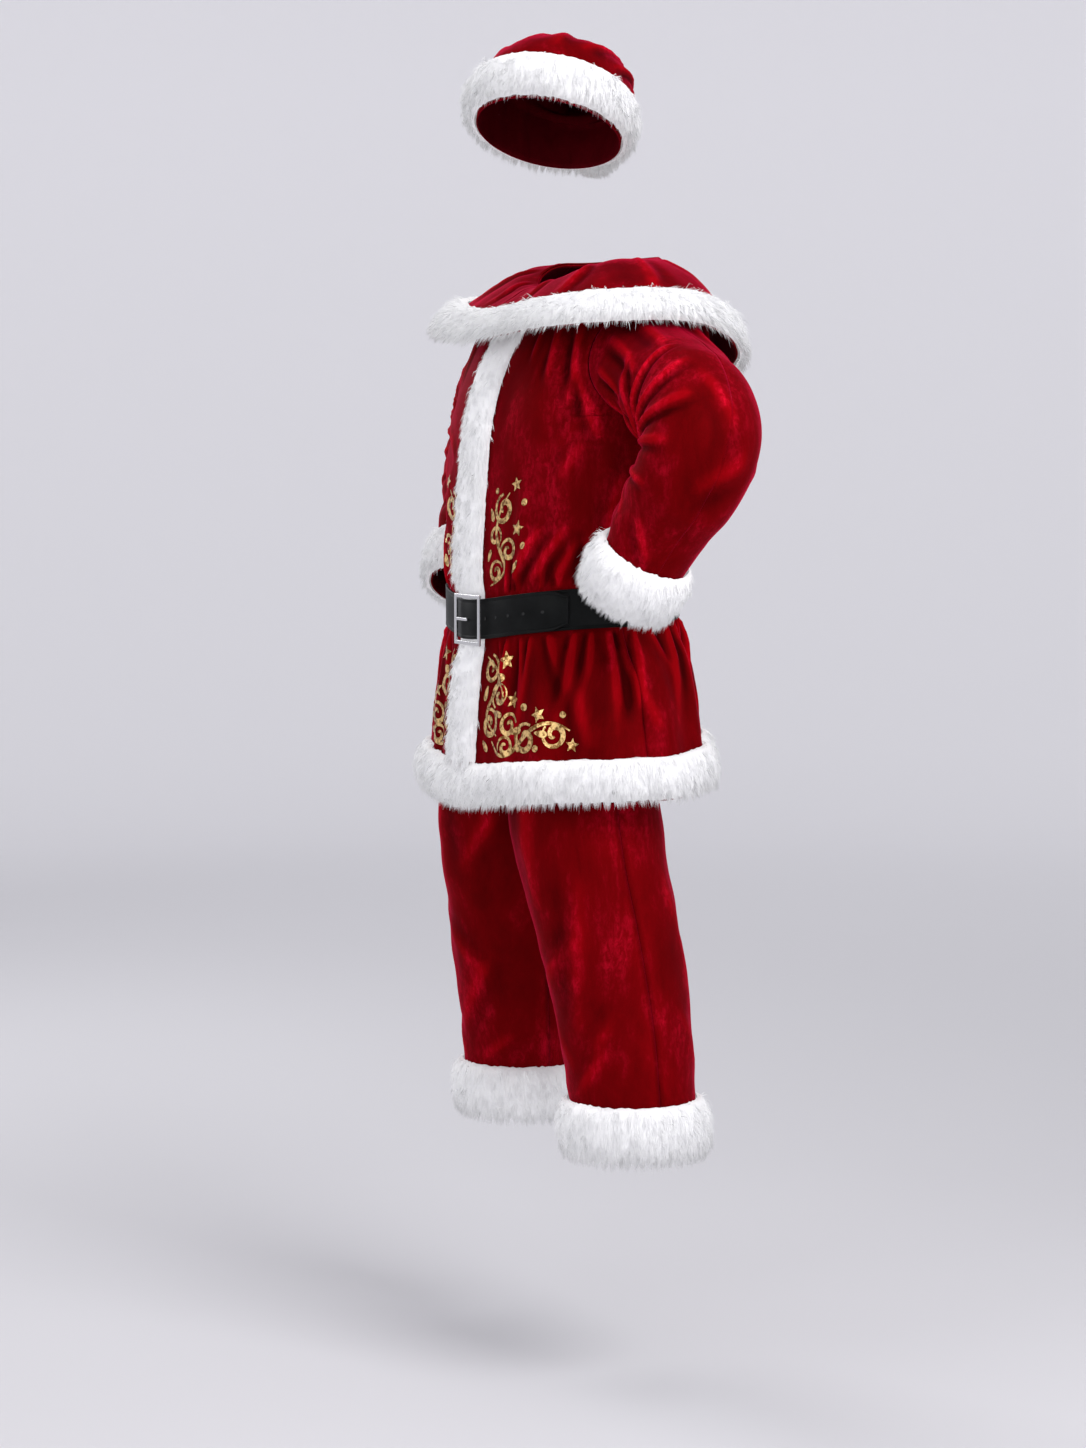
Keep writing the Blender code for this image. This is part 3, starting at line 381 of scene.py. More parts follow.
def ridges(along, around, rows, scale, closed=True):
    """The rows' ridges, each with a trough on its lower side. A closed piece goes all the way round."""
    long, wide = scale
    total = 0.0
    for start, start_round, stop, stop_round, half, height in rows:
        if closed:
            start_round, stop_round = radians(start_round), radians(stop_round)
        run, sweep = (stop - start) * long, (stop_round - start_round) * wide
        beside = turned(around - start_round) if closed else around - start_round
        x, y = (along - start) * long, beside * wide
        t = np.clip((x * run + y * sweep) / (run * run + sweep * sweep), 0, 1)
        side = np.where(x * sweep > y * run, 1.0, -1.0)
        away = side * np.hypot(x - t * run, y - t * sweep) / (half / 1000)
        total = total + height / 1000 * (4 * t * (1 - t)) ** 0.6 * crease(away)
    return total


def gathers(away, angle, count, seed, depth, reach, spread):
    """Creases that start crisp at the belt and widen and fade away from it."""
    dice = np.random.default_rng(seed)
    total = 0.0
    for k in range(count):
        middle = 2 * pi * (k + dice.uniform(0.15, 0.85)) / count
        fall, drift = reach * dice.uniform(0.35, 1.0), dice.uniform(-1.0, 1.0) * spread
        high, half = depth * dice.uniform(0.55, 1.15), dice.uniform(0.0034, 0.0052)
        half = half * (1 + 11 * np.maximum(away, 0))
        beside = turned(angle - middle - drift * away) * 0.165 / half
        total = total + high * crease(beside * dice.choice((-1, 1))) * ease((fall - away) / fall)
    return total


def unevenness(along, around, scale, seed, size=0.0021):
    """Shallow undulations that close on themselves round the piece."""
    dice = np.random.default_rng(seed)
    total = 0.0
    for _ in range(12):
        length, turn, phase = dice.uniform(0.05, 0.17), dice.uniform(0, pi), dice.uniform(0, 2 * pi)
        rate = 2 * pi / length
        swing = rate * cos(turn) * along * scale[0] + round(rate * sin(turn) * scale[1]) * around
        total = total + length * sin(swing + phase)
    return total * size


def coat_extra(up, angle):
    around = np.abs(turned(angle))
    beside = ease((around - radians(22)) / radians(16))
    clear = ease((np.abs(up - BELT_MIDDLE) - 0.0265) / 0.010)
    pleats = gathers(BELT_LOW - up, angle, 44, 7, 0.0056, 0.20, 1.6) * (up < BELT_MIDDLE)
    blouse = gathers(up - BELT_HIGH, angle, 36, 8, 0.0044, 0.11, 1.2) * (up > BELT_MIDDLE)
    soft = ridges(up, angle, COAT_RIDGES, COAT_SCALE) + unevenness(up, angle, COAT_SCALE, 3)
    hole = np.hypot((up - ARMHOLE_UP) / ARMHOLE_TALL, (around - QUARTER) / ARMHOLE_WIDE)
    seam = 0.0012 * wave((around - QUARTER) * 0.19 / 0.004)
    inside = beside * clear * ease((hole - 1.0) / 0.25) * ease((NECK - up) / 0.02)
    return (pleats + blouse + soft) * inside - seam


def sleeve_extra(strength):
    def extra(along, around):
        soft = strength * ridges(along, around, SLEEVE_RIDGES, SLEEVE_SCALE)
        soft = soft + unevenness(along, around, SLEEVE_SCALE, 11)
        under_arm = 0.0011 * wave(sin(around) * 0.064 / 0.003) * (cos(around) < 0)
        seam = 0.0010 * (1 - ease(along / 0.006)) + under_arm
        return soft * ease((along - 0.004) / 0.02) * ease((SLEEVE_END - along) / 0.03) - seam
    return extra


def leg_extra(seed):
    def extra(height, across):
        soft = 0.55 * ridges(height, across, LEG_RIDGES, LEG_SCALE, False)
        soft = soft + unevenness(height, across * 2, (1.0, LEG_SCALE[1] / 2), seed, 0.0012)
        window = wave(across - 0.5) ** 0.5 * 1.35
        seam = 0.0013 * (wave(across * 0.25 / 0.004) + wave((1 - across) * 0.25 / 0.004))
        return soft * np.clip(window - 0.62, 0, 1) / 0.73 * ease((0.97 - height) / 0.08) - seam
    return extra


def cape_extra(down, angle):
    soft = ridges(down, angle, CAPE_RIDGES, CAPE_SCALE) + unevenness(down, angle, CAPE_SCALE, 17)
    return soft * ease((down - 0.02) / 0.15) * ease((1.0 - down) / 0.2)


def crown_extra(turn, around):
    soft = ridges(turn, around, CROWN_RIDGES, CROWN_SCALE) + unevenness(turn, around, CROWN_SCALE, 23)
    return soft * ease((turn - 1) / 9)


def grid(u, v):
    return np.meshgrid(u, v, indexing="ij")


def circle(sides):
    return linspace(0, 2 * pi, sides, endpoint=False)


def placed(name, data):
    made = bpy.data.objects.new(name, data)
    bpy.context.scene.collection.objects.link(made)
    return made


def mesh_piece(name, points, faces, materials, node=None, kinds=None, relief=None):
    """A piece from numpy points and faces with the same number of corners. Relief is how far each point
    stands out in its folds, which the velvet's material reads to paint shade in troughs and highlights on
    crests."""
    mesh = bpy.data.meshes.new(name)
    mesh.vertices.add(len(points))
    mesh.vertices.foreach_set("co", (points - ORIGIN).astype(np.float32).ravel())
    mesh.loops.add(faces.size)
    mesh.loops.foreach_set("vertex_index", faces.astype(np.int32).ravel())
    mesh.polygons.add(len(faces))
    mesh.polygons.foreach_set("loop_start", arange(0, faces.size, faces.shape[1], dtype=np.int32))
    for material in materials:
        mesh.materials.append(material)
    if kinds is not None:
        mesh.polygons.foreach_set("material_index", kinds.astype(np.int32))
    if relief is not None:
        mesh.attributes.new("relief", "FLOAT", "POINT").data.foreach_set("value", relief.astype(np.float32))
    mesh.update(calc_edges=True)
    mesh.shade_smooth()
    piece = placed(name, mesh)
    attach(piece, "root")
    if node:
        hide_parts(node)
    return piece


def grid_faces(rows, columns, closed):
    i, j = grid(arange(rows - 1), arange(columns if closed else columns - 1))
    here, after = i * columns + j, i * columns + (j + 1) % columns
    return stack([here, after, after + columns, here + columns], -1).reshape(-1, 4)


def rim_faces(rows, columns, closed):
    """Faces that join the edges of two grids whose points follow one another."""
    size = rows * columns
    loops = [arange(columns), arange(columns) + (rows - 1) * columns]
    if not closed:
        loops += [arange(rows) * columns, arange(rows) * columns + columns - 1]
    faces = []
    for k, loop in enumerate(loops):
        ahead = np.roll(loop, -1) if closed else loop[1:]
        loop = loop if closed else loop[:-1]
        quad = stack([loop, loop + size, ahead + size, ahead], -1)
        faces.append(quad if k in (0, 3) else quad[:, ::-1])
    return concatenate(faces)


def velvet_piece(name, node, outer, inner, out, closed=False, flip=False):
    """A velvet piece between the points of its outer face and of its reverse. Out is its folds' height."""
    rows, columns = out.shape
    front = grid_faces(rows, columns, closed)
    back = front[:, ::-1] + rows * columns
    rim = rim_faces(rows, columns, closed)
    faces = concatenate([front, back, rim])
    kinds = np.repeat([0, 1, 0], [len(front), len(back), len(rim)])
    points = concatenate([outer.reshape(-1, 3), inner.reshape(-1, 3)])
    relief = relief_of(out)
    made = mesh_piece(name, points, faces[:, ::-1] if flip else faces, (VELVET, REVERSE), node, kinds=kinds,
                      relief=concatenate([relief, relief * 0]))
    if not closed:
        made.data.polygons.foreach_set("use_smooth", arange(len(faces)) < 2 * len(front))
        made.data.update()
    return made


def shell(node, surface, extra, along, around, sense=1, base=None, flip=False):
    """A velvet piece on a surface, with the finer folds added."""
    along, around = pair(along, around)
    out = extra(along, around)
    faces = [moved(surface, along, around, out - depth, sense, base) for depth in (0.0, SHELL)]
    return velvet_piece(node.removesuffix("_body") + "_velvet", node, *faces, out, flip=flip)


def relief_of(out, reach=6):
    """The folds' height less its average nearby, so that painted shade and highlights mark crests and
    troughs, not broad swells.
    """
    smooth = np.pad(out, reach, mode="edge")
    for axis in (0, 1):
        total = np.cumsum(smooth, axis=axis)
        total = concatenate([np.zeros_like(np.take(total, [0], axis)), total], axis)
        high = np.take(total, range(2 * reach + 1, smooth.shape[axis] + 1), axis)
        smooth = (high - np.take(total, range(smooth.shape[axis] - 2 * reach), axis)) / (2 * reach + 1)
    return (out - smooth).ravel()


def fill(tree, made, **sockets):
    """Sets a node's sockets, or links them where the value is another node's output."""
    for key, value in sockets.items():
        socket = made.inputs[key.replace("_", " ")]
        if isinstance(value, bpy.types.NodeSocket):
            tree.links.new(value, socket)
        else:
            socket.default_value = value


def added(tree, kind, **sockets):
    made = tree.nodes.new("ShaderNode" + kind)
    fill(tree, made, **sockets)
    return made


def shader(name, colour, roughness, metallic=0.0, **sockets):
    made = bpy.data.materials.new(name)
    made.use_nodes = True
    main = made.node_tree.nodes["Principled BSDF"]
    fill(made.node_tree, main, Base_Color=(*colour, 1), Roughness=roughness, Metallic=metallic, **sockets)
    return made, made.node_tree, main


def noise(tree, scale, detail=3.0, rough=0.55, stretch=(1, 1, 1), distortion=0.0):
    place = added(tree, "TexCoord").outputs["Object"]
    place = added(tree, "Mapping", Scale=stretch, Vector=place).outputs["Vector"]
    return added(tree, "TexNoise", Vector=place, Scale=scale, Detail=detail, Roughness=rough,
                Distortion=distortion).outputs["Fac"]


def ramp(tree, value, *stops):
    """Colours along a value. A number is a grey."""
    made = added(tree, "ValToRGB", Fac=value)
    line = made.color_ramp
    while len(line.elements) < len(stops):
        line.elements.new(0.5)
    for element, (where, colour) in zip(line.elements, stops):
        colour = colour if isinstance(colour, tuple) else (colour,) * 3
        element.position, element.color = where, (*colour, 1)
    return made.outputs["Color"]


def ranged(tree, value, **limits):
    return added(tree, "MapRange", Value=value, **limits).outputs["Result"]


def mixed(tree, amount, first, second, blend="MIX"):
    made = tree.nodes.new("ShaderNodeMix")
    made.data_type, made.blend_type = "RGBA", blend
    for value, socket in ((amount, made.inputs[0]), (first, made.inputs[6]), (second, made.inputs[7])):
        if isinstance(value, bpy.types.NodeSocket):
            tree.links.new(value, socket)
        else:
            socket.default_value = value if isinstance(value, float) else (*value, 1)
    return made.outputs[2]


def bump(tree, main, *layers):
    """Bumps from coarse to fine, each a height, its strength and its depth in metres."""
    before = {}
    for height, strength, depth in layers:
        made = added(tree, "Bump", Height=height, Strength=strength, Distance=depth, **before)
        before = {"Normal": made.outputs["Normal"]}
    fill(tree, main, **before)


def velvet(name, dark, deep, bright, rim, sheen):
    """Pile crushed in patches; painted shade in troughs, painted highlight on crests, painted sheen where it
    turns away.
    """
    made, tree, main = shader(name, deep, 0.7, Sheen_Weight=sheen, Sheen_Roughness=0.30,
                              Specular_IOR_Level=0.012, Sheen_Tint=(1.0, 0.015, 0.10, 1))
    patches = noise(tree, 13, 8, 0.70, (1, 1, 0.38), 0.3)
    crush = noise(tree, 150, 6, 0.75, (1, 1, 0.55), 0.6)
    calm = ramp(tree, patches, (0.34, dark), (0.50, deep))
    where = ramp(tree, patches, (0.505, 0), (0.64, 1))
    specks = ramp(tree, crush, (0.42, 0.10), (0.60, 1))
    colour = mixed(tree, mixed(tree, 1.0, where, specks, "MULTIPLY"), calm, bright)
    # Painted shade and highlight: the folds' relief darkens the colour in troughs and brightens it on crests.
    folds = added(tree, "Attribute")
    folds.attribute_name = "relief"
    height = ranged(tree, folds.outputs["Fac"], From_Min=-0.0030, From_Max=0.0030)
    painted_shade_and_highlight = ramp(tree, height, (0.05, (0.30, 0.28, 0.28)), (0.40, 0.82), (0.55, 0.95),
                 (0.88, (1.90, 1.75, 2.05)))
    colour = mixed(tree, 1.0, colour, painted_shade_and_highlight, "MULTIPLY")
    # Painted sheen: where the cloth turns away from the view, the colour turns towards the rim colour, broken
    # up by the crushed grain.
    glow = ramp(tree, added(tree, "LayerWeight", Blend=0.5).outputs["Facing"], (0.68, 0), (0.95, 0.72))
    grain = ramp(tree, crush, (0.36, 0.35), (0.58, 1))
    colour = mixed(tree, mixed(tree, 1.0, glow, grain, "MULTIPLY"), colour, rim)
    fill(tree, main, Base_Color=colour, Roughness=ranged(tree, patches, To_Min=0.58, To_Max=0.82))
    nap = noise(tree, 1500, 2, 0.5)
    bump(tree, main, (patches, 0.08, 0.003), (noise(tree, 260, 3), 0.16, 0.0006), (nap, 0.2, 0.0003))
    return made


def fur_material(name, root, tip):
    # Painted light: a faint white emission lifts the fur's shade, standing in for light scattered through the
    # pile.
    made, tree, main = shader(name, tip, 0.9, Specular_IOR_Level=0.05, Emission_Strength=0.19,
                              Emission_Color=(0.96, 0.97, 1.0, 1))
    fill(tree, main, Base_Color=ramp(tree, noise(tree, 60, 3, 0.6), (0.35, root), (0.6, tip)))
    bump(tree, main, (noise(tree, 420, 3, 0.6, (1, 1, 0.3)), 0.4, 0.0012))
    return made


def leatherette(name, dark, light):
    made, tree, main = shader(name, light, 0.45, Specular_IOR_Level=0.08)
    fill(tree, main, Base_Color=ramp(tree, noise(tree, 24, 4, 0.6), (0.3, dark), (0.7, light)))
    bump(tree, main, (noise(tree, 520, 3, 0.6), 0.35, 0.0004), (noise(tree, 30, 2), 0.15, 0.002))
    return made


def metal(name, colour, rough, worn=None):
    made, tree, main = shader(name, colour, rough, 1.0)
    if worn:
        fill(tree, main, Base_Color=ramp(tree, noise(tree, 160, 5, 0.7), (0.42, worn), (0.56, colour)))
        bump(tree, main, (noise(tree, 340, 4, 0.65), 0.6, 0.0008))
    else:
        bump(tree, main, (noise(tree, 700, 2, 0.5, (8, 8, 0.6)), 0.18, 0.0003))
    return made


# In both, the fourth colour is a painted sheen where the cloth turns away from the view.
VELVET = velvet("velvet", (0.110, 0.0002, 0.0010), (0.160, 0.0003, 0.0018), (0.38, 0.0026, 0.0130),
                (0.48, 0.0030, 0.0300), 0.38)
REVERSE = velvet("velvet_reverse", (0.05, 0.0006, 0.002), (0.085, 0.001, 0.004), (0.12, 0.002, 0.006),
                 (0.12, 0.002, 0.006), 0.1)
FUR = fur_material("white_fur", (0.76, 0.755, 0.765), (0.84, 0.835, 0.84))
LEATHER = leatherette("leatherette", (0.0030, 0.0035, 0.0035), (0.0080, 0.0090, 0.0090))
STEEL = metal("satin_steel", (0.66, 0.66, 0.67), 0.27)
GOLD = metal("gold_foil", (0.88, 0.60, 0.25), 0.30, (0.20, 0.09, 0.025))
# Painted shade: near-black for the shaded inside of the belt's holes.
HOLE_SHADE = shader("painted_hole_shade", (0.004, 0.004, 0.004), 0.7)[0]


def make_coat():
    ups = concatenate([
        linspace(HEM - 0.004, BELT_LOW - 0.002, 46, endpoint=False),
        linspace(BELT_LOW - 0.002, BELT_HIGH + 0.002, 5, endpoint=False),
        linspace(BELT_HIGH + 0.002, ARMHOLE_UP - ARMHOLE_TALL, 42, endpoint=False),
        ARMHOLE_UP - ARMHOLE_TALL * cos(linspace(0, pi, 27)),
        linspace(ARMHOLE_UP + ARMHOLE_TALL, NECK, 18)[1:]])[:, None]
    cut = ARMHOLE_WIDE * np.sqrt(np.clip(1 - ((ups - ARMHOLE_UP) / ARMHOLE_TALL) ** 2, 0, 1))
    gap = SEAM / 0.4
    for side, mirror in SIDES.items():
        angle = mirror * (gap + (QUARTER - 2 * gap - cut) * linspace(0, 1, 101))
        made = shell(f"coat_front_{side}", coat, coat_extra, ups, angle, base=plain_coat, flip=mirror < 0)
    angle = QUARTER + gap + cut + (pi - 2 * gap - 2 * cut) * linspace(0, 1, 191)
    made = shell("coat_back", coat, coat_extra, ups, angle, base=plain_coat)


def make_sleeves():
    along = concatenate([[0.0, 0.002, 0.005, 0.009], linspace(0.014, SLEEVE_END, 126)])
    for side, mirror in SIDES.items():
        for word, start, stop, carrier in (("front", 0.0, pi - 0.003, f"coat_front_{side}_velvet"),
                                           ("back", pi + 0.003, 2 * pi, "coat_back_velvet")):
            made = shell(f"sleeve_{word}_{side}", sleeve(side), sleeve_extra(1.0 if side == "left" else 0.6),
                         along[:, None], linspace(start, stop, 70), sense=mirror, flip=mirror < 0)


def make_trousers():
    height, across = grid(linspace(LEG_LOW, LEG_HIGH, 110), linspace(0.0006, 0.9994, 41))
    for side, mirror in SIDES.items():
        for face, word, seed in ((1, "front", 31), (-1, "back", 37)):
            made = shell(f"trouser_{word}_{side}", leg(side, face), leg_extra(seed + mirror), height, across,
                         sense=mirror * face, flip=mirror * face < 0)


def make_cape():
    down, angle = grid(linspace(0, 0.985, 40), linspace(0.003, 2 * pi - 0.003, 161))
    made = shell("cape_body", cape, cape_extra, down, angle, sense=-1, flip=True)


def make_crown():
    """The brim's ring of cloth, and the crown that goes on from it."""
    around = circle(80)
    rise = linspace(CROWN_FROM, BRIM_HIGH, 9)[:-1, None]
    turn, across = grid(linspace(1.5, CROWN_LAST, 62), around)
    out = crown_extra(turn, across)
    faces = [concatenate([moved(brim, rise, around, -depth),
                          moved(crown, turn, across, out - depth, step=1e-2)]) for depth in (0.0, SHELL)]
    out = concatenate([np.zeros((len(rise), len(around))), out])
    made = velvet_piece("hat_velvet", "hat_crown", *faces, out, closed=True)


def unit(vectors):
    return vectors / np.maximum(np.linalg.norm(vectors, axis=-1, keepdims=True), 1e-9)


CURVED = 0.12      # share of the strands that bend; the rest are short straight blades


def strands(roots, outward, comb, length, seed, clump, cells):
    """Tapered strands, drawn together in pointed clumps: some of five points that bend, the rest of three."""
    dice = np.random.default_rng(seed)
    count = len(roots)
    _, cell = np.unique(cells, axis=0, return_inverse=True)
    cell = cell.ravel()
    tally = np.bincount(cell)
    middle = stack([np.bincount(cell, roots[:, k]) / tally for k in range(3)], -1)[cell]
    lean = dice.normal(size=(len(tally), 3))[cell]
    grow = unit(outward * 0.50 + comb * 1.0 + lean * 0.22 + dice.normal(size=(count, 3)) * 0.14)
    size = (length * dice.uniform(0.72, 1.12, count))[:, None]
    centre = roots + grow * size * 0.5
    tip = centre + unit(grow * 0.55 + comb * 0.60 + array((0, 0, -0.25))) * size * 0.5
    tip = tip + (middle - roots) * clump
    centre = centre + (middle - roots) * clump * 0.35
    across = unit(np.cross(grow, outward + dice.normal(size=(count, 3)) * 0.5))
    across *= np.where(np.einsum("ij,ij->i", np.cross(across, grow), outward) > 0, 1, -1)[:, None]
    across *= dice.uniform(0.00028, 0.00048, count)[:, None]
    curved = arange(count) < count * CURVED
    normals = unit(outward + comb * 0.12 + dice.normal(size=(count, 3)) * 0.07)
    bent = stack([roots - across, roots + across, centre - across * 0.8, centre + across * 0.8, tip],
                 1)[curved]
    blades = stack([roots - across * 1.4, roots + across * 1.4, roots + (tip - roots) * 0.86], 1)[~curved]
    first = arange(len(bent))[:, None, None] * 5
    bent_faces = (first + array([[0, 1, 2], [1, 3, 2], [2, 3, 4]])).reshape(-1, 3)
    blade_faces = arange(len(blades) * 3).reshape(-1, 3) + len(bent) * 5
    return (concatenate([bent.reshape(-1, 3), blades.reshape(-1, 3)]),
            concatenate([bent_faces, blade_faces]),
            np.repeat(normals, np.where(curved, 5, 3), axis=0))


def fur_piece(node, under, under_faces, under_normals, grown):
    """A fur piece from its undercoat and the strands grown on it."""
    points, faces, normals = grown
    corners = under[under_faces]
    facing = np.cross(corners[:, 1] - corners[:, 0], corners[:, 2] - corners[:, 0])
    if np.einsum("ij,ij->", facing, under_normals[under_faces[:, 0]]) < 0:
        under_faces = under_faces[:, ::-1]
    made = mesh_piece(node + ("_band" if node.endswith("_fur") else "_fur"), concatenate([under, points]),
                      concatenate([under_faces, faces + len(under)]), (FUR,), node)
    made.data.normals_split_custom_set_from_vertices(concatenate([under_normals, normals]))


def fur_band(node, surface, shape, around, closed, count, seed, length, sense=1, base=None, lay=1, tuck=0.016,
             lift=0.0003, tall=None, comb=None, trim=None):
    """A fur band on a surface. Shape is where it starts and ends along the surface and its pile, or a
    function that gives the three. Lay is 1 where the fur runs towards its start, and tuck is how far the
    roots stay from that end, so that the tips reach it."""
    def profile(theta, where, deep, share):
        low, high, pile = shape(where) if callable(shape) else shape
        first, last = (low + tuck * share, high) if lay == 1 else (low, high - tuck * share)
        place = (first + last) / 2 + (last - first) / 2 * cos(theta)
        return moved(surface, place, where, BACKING + lift + pile * deep * sin(theta) ** 0.6, sense, base)

    def frame_at(theta, where):
        low, high, _ = shape(where) if callable(shape) else shape
        top = unit(surface(high, where) - surface(low, where))
        middle = (low + high) / 2
        out = unit(moved(surface, middle, where, 0.01, sense, base) - surface(middle, where))
        outward = unit(out * sin(theta)[..., None] ** 0.7 + top * cos(theta)[..., None] * 0.8)
        return outward, -top * lay if comb is None else np.broadcast_to(array(comb), out.shape)

    dice = np.random.default_rng(seed)
    theta, where = grid(linspace(0.02, pi - 0.02, 13), around)
    normal, _ = frame_at(theta, where)
    skin = profile(theta, where, 0.80, 0.5) + normal * (dice.normal(size=theta.shape) * 0.0007)[..., None]
    round_length = np.linalg.norm(np.diff(skin[6], axis=0), axis=-1).sum()
    quads = grid_faces(*theta.shape, closed)
    theta = np.arccos(1 - 2 * dice.uniform(0.0, 1.0, count)) * 0.97 + 0.045
    spread = dice.uniform(0, 1, count)
    where = around[0] + spread * (2 * pi if closed else around[-1] - around[0])
    if trim is not None:
        length = length * trim(where)
        kept = length > 0.002
        theta, spread, where, length = theta[kept], spread[kept], where[kept], length[kept]
    outward, down = frame_at(theta, where)
    tall = tall or shape[1] - shape[0]
    cells = stack([np.floor(theta / pi * 2 * tall / 0.011 + sin(where * 9)),
                   np.floor(spread * round_length / 0.010)], -1)
    grown = strands(profile(theta, where, 0.72, 1.0), outward, down, length, seed + 1, 0.72, cells)
    under_faces = concatenate([quads[:, [0, 1, 2]], quads[:, [0, 2, 3]]])
    fur_piece(node, skin.reshape(-1, 3), under_faces, normal.reshape(-1, 3), grown)


def leg_ring(side):
    def surface(height, around):
        row = LEG.at(height)
        return stack([(row.x + row.half_width * sin(around)) * SIDES[side],
                      row.y - row.half_depth * cos(around),
                      np.broadcast_to(height, np.shape(around)).astype(float)], -1)
    return surface


def placket(up):
    """The placket's edges round the coat, and its pile, pressed by the belt and under the cape."""
    by_belt = PRESSED_BY_BELT * ease((0.062 - np.abs(up - BELT_MIDDLE)) / 0.028)
    by_cape = PRESSED_BY_CAPE * ease((up - 0.54) / 0.08) + PRESSED_NEAR_NECK * ease((up - 0.65) / 0.05)
    half = np.arctan2(PLACKET_WIDTH / 2, COAT.at(up).front)
    return -half, half, PILE * (1 - by_belt) * (1 - by_cape)


def beside_belt(up):
    """Short beside the belt, so that no strand lies over it, and none beneath it."""
    above, below = ease((up - BELT_HIGH) / 0.024), ease((BELT_LOW - 0.001 - up) / 0.006)
    return np.where(up > BELT_MIDDLE, above, below)


def make_fur():
    fur_band("coat_hem_fur", coat, (HEM - 0.010, HEM_BAND_TOP, PILE), linspace(0.004, 2 * pi - 0.004, 260),
             False, 82000, 101, 0.022, base=plain_coat)
    ring = circle(120)
    for side, mirror in SIDES.items():
        fur_band(f"sleeve_cuff_{side}", sleeve(side), (CUFF_FROM, CUFF_END, CUFF_PILE), ring, True, 33000,
                 110 + mirror, 0.020, sense=mirror, lay=-1)
        fur_band(f"leg_cuff_{side}", leg_ring(side), (LEG_CUFF_LOW, LEG_CUFF_HIGH, PILE), ring, True, 40000,
                 120 + mirror, 0.022, sense=mirror)
    fur_band("cape_fur", cape, (CAPE_BAND_FROM, 1.0, CAPE_PILE), linspace(0.004, 2 * pi - 0.004, 240), False,
             52000, 130, 0.022, sense=-1, lay=-1, tuck=0.01)
    fur_band("hat_brim", brim, (BRIM_LOW, BRIM_HIGH, BRIM_PILE), ring, True, 40000, 140, 0.021)
    fur_band("coat_placket", lambda angle, up: coat(up, angle), placket,
             linspace(HEM_BAND_TOP + 0.002, PLACKET_TOP, 150), False, 40000, 150, 0.018, sense=-1,
             base=lambda angle, up: plain_coat(up, angle), tuck=0.0, lift=0.0006, tall=0.07, comb=(0, 0, -1),
             trim=beside_belt)


def make_pompom():
    box = array(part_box("hat_pompom"))
    middle, radius = box.mean(0) + ORIGIN, (box[1] - box[0]).mean() / 2
    bpy.ops.mesh.primitive_ico_sphere_add(subdivisions=4, radius=1)
    ball = bpy.context.object
    round_points = unit(array([v.co[:] for v in ball.data.vertices]))
    under_faces = array([p.vertices[:] for p in ball.data.polygons])
    bpy.data.objects.remove(ball)
    outward = unit(np.random.default_rng(160).normal(size=(16000, 3)))
    comb = outward * 0.1 + array((0, 0, -0.25))
    cells = np.floor(outward * radius / 0.010)
    grown = strands(middle + outward * radius * 0.66, outward, comb, 0.020, 161, 0.4, cells)
    fur_piece("hat_pompom", middle + round_points * radius * 0.72, under_faces, round_points, grown)


def belt_depth(angle):
    """How far the belt's inner face is off the coat: it rises over the placket and over its own beginning."""
    over_placket = PLACKET_RISE * np.exp(-(turned(angle) / PLACKET_REACH) ** 4)
    return BELT_OFF + over_placket + (BELT_THICK + 0.0006) * ease((angle - BELT_LAP) / radians(12))


def make_belt():
    angles = linspace(BELT_START, BELT_STOP, 280)
    soft = 0.0007
    half = BELT_WIDTH / 2
    edge = [(half, 0.0), (half, BELT_THICK - soft), (half - soft, BELT_THICK), (half - 0.004, BELT_THICK),
            (half - 0.0046, BELT_THICK - 0.0004), (half - 0.0052, BELT_THICK)]
    outline = array([(-x, y) for x, y in edge] + [(0.0, BELT_THICK + 0.0002)] + edge[::-1])
    tip = ease((angles - BELT_STOP + radians(9)) / radians(9))[:, None]
    points = moved(plain_coat, BELT_MIDDLE + outline[:, 0] * (1 - 0.28 * tip ** 2), angles[:, None],
                   belt_depth(angles)[:, None] + outline[:, 1])
    made = mesh_piece("belt_strap_leather", points.reshape(-1, 3), grid_faces(*points.shape[:2], True),
                      (LEATHER,), "belt_strap")
    cap = bmesh.new()
    cap.from_mesh(made.data)
    bmesh.ops.holes_fill(cap, edges=[e for e in cap.edges if e.is_boundary], sides=0)
    bmesh.ops.recalc_face_normals(cap, faces=cap.faces)
    cap.to_mesh(made.data)
    cap.free()
    made.data.set_sharp_from_angle(angle=radians(40))
    # Each hole is a fan of painted shade, standing for the hole's shaded inside, within raised leather rings.
    sides = 16
    turn = circle(sides)
    rings = [stack([radius * cos(turn), radius * sin(turn), np.full(sides, lift)], -1)
             for radius, lift in ((0.0020, 0.0002), (0.0024, 0.00035), (0.0030, 0.00012))]
    disc = concatenate([[(0.0, 0.0, 0.00022)], *rings])
    rim = 1 + arange(sides)
    fan = stack([rim * 0, rim, np.roll(rim, -1)], -1)
    quads = 1 + grid_faces(3, sides, True)
    faces = concatenate([fan, quads[:, [0, 3, 2]], quads[:, [0, 2, 1]]])
    kinds = np.repeat([1, 0], [sides, 2 * len(quads)])
    for k, degrees in enumerate(BELT_HOLES):
        angle = 2 * pi + radians(degrees)
        places = moved(plain_coat, BELT_MIDDLE + disc[:, 0], angle + disc[:, 1] / 0.15,
                       belt_depth(angle) + BELT_THICK + 0.0002 + disc[:, 2])
        mesh_piece(f"belt_hole_{k}", places, faces, (LEATHER, HOLE_SHADE), None, kinds)


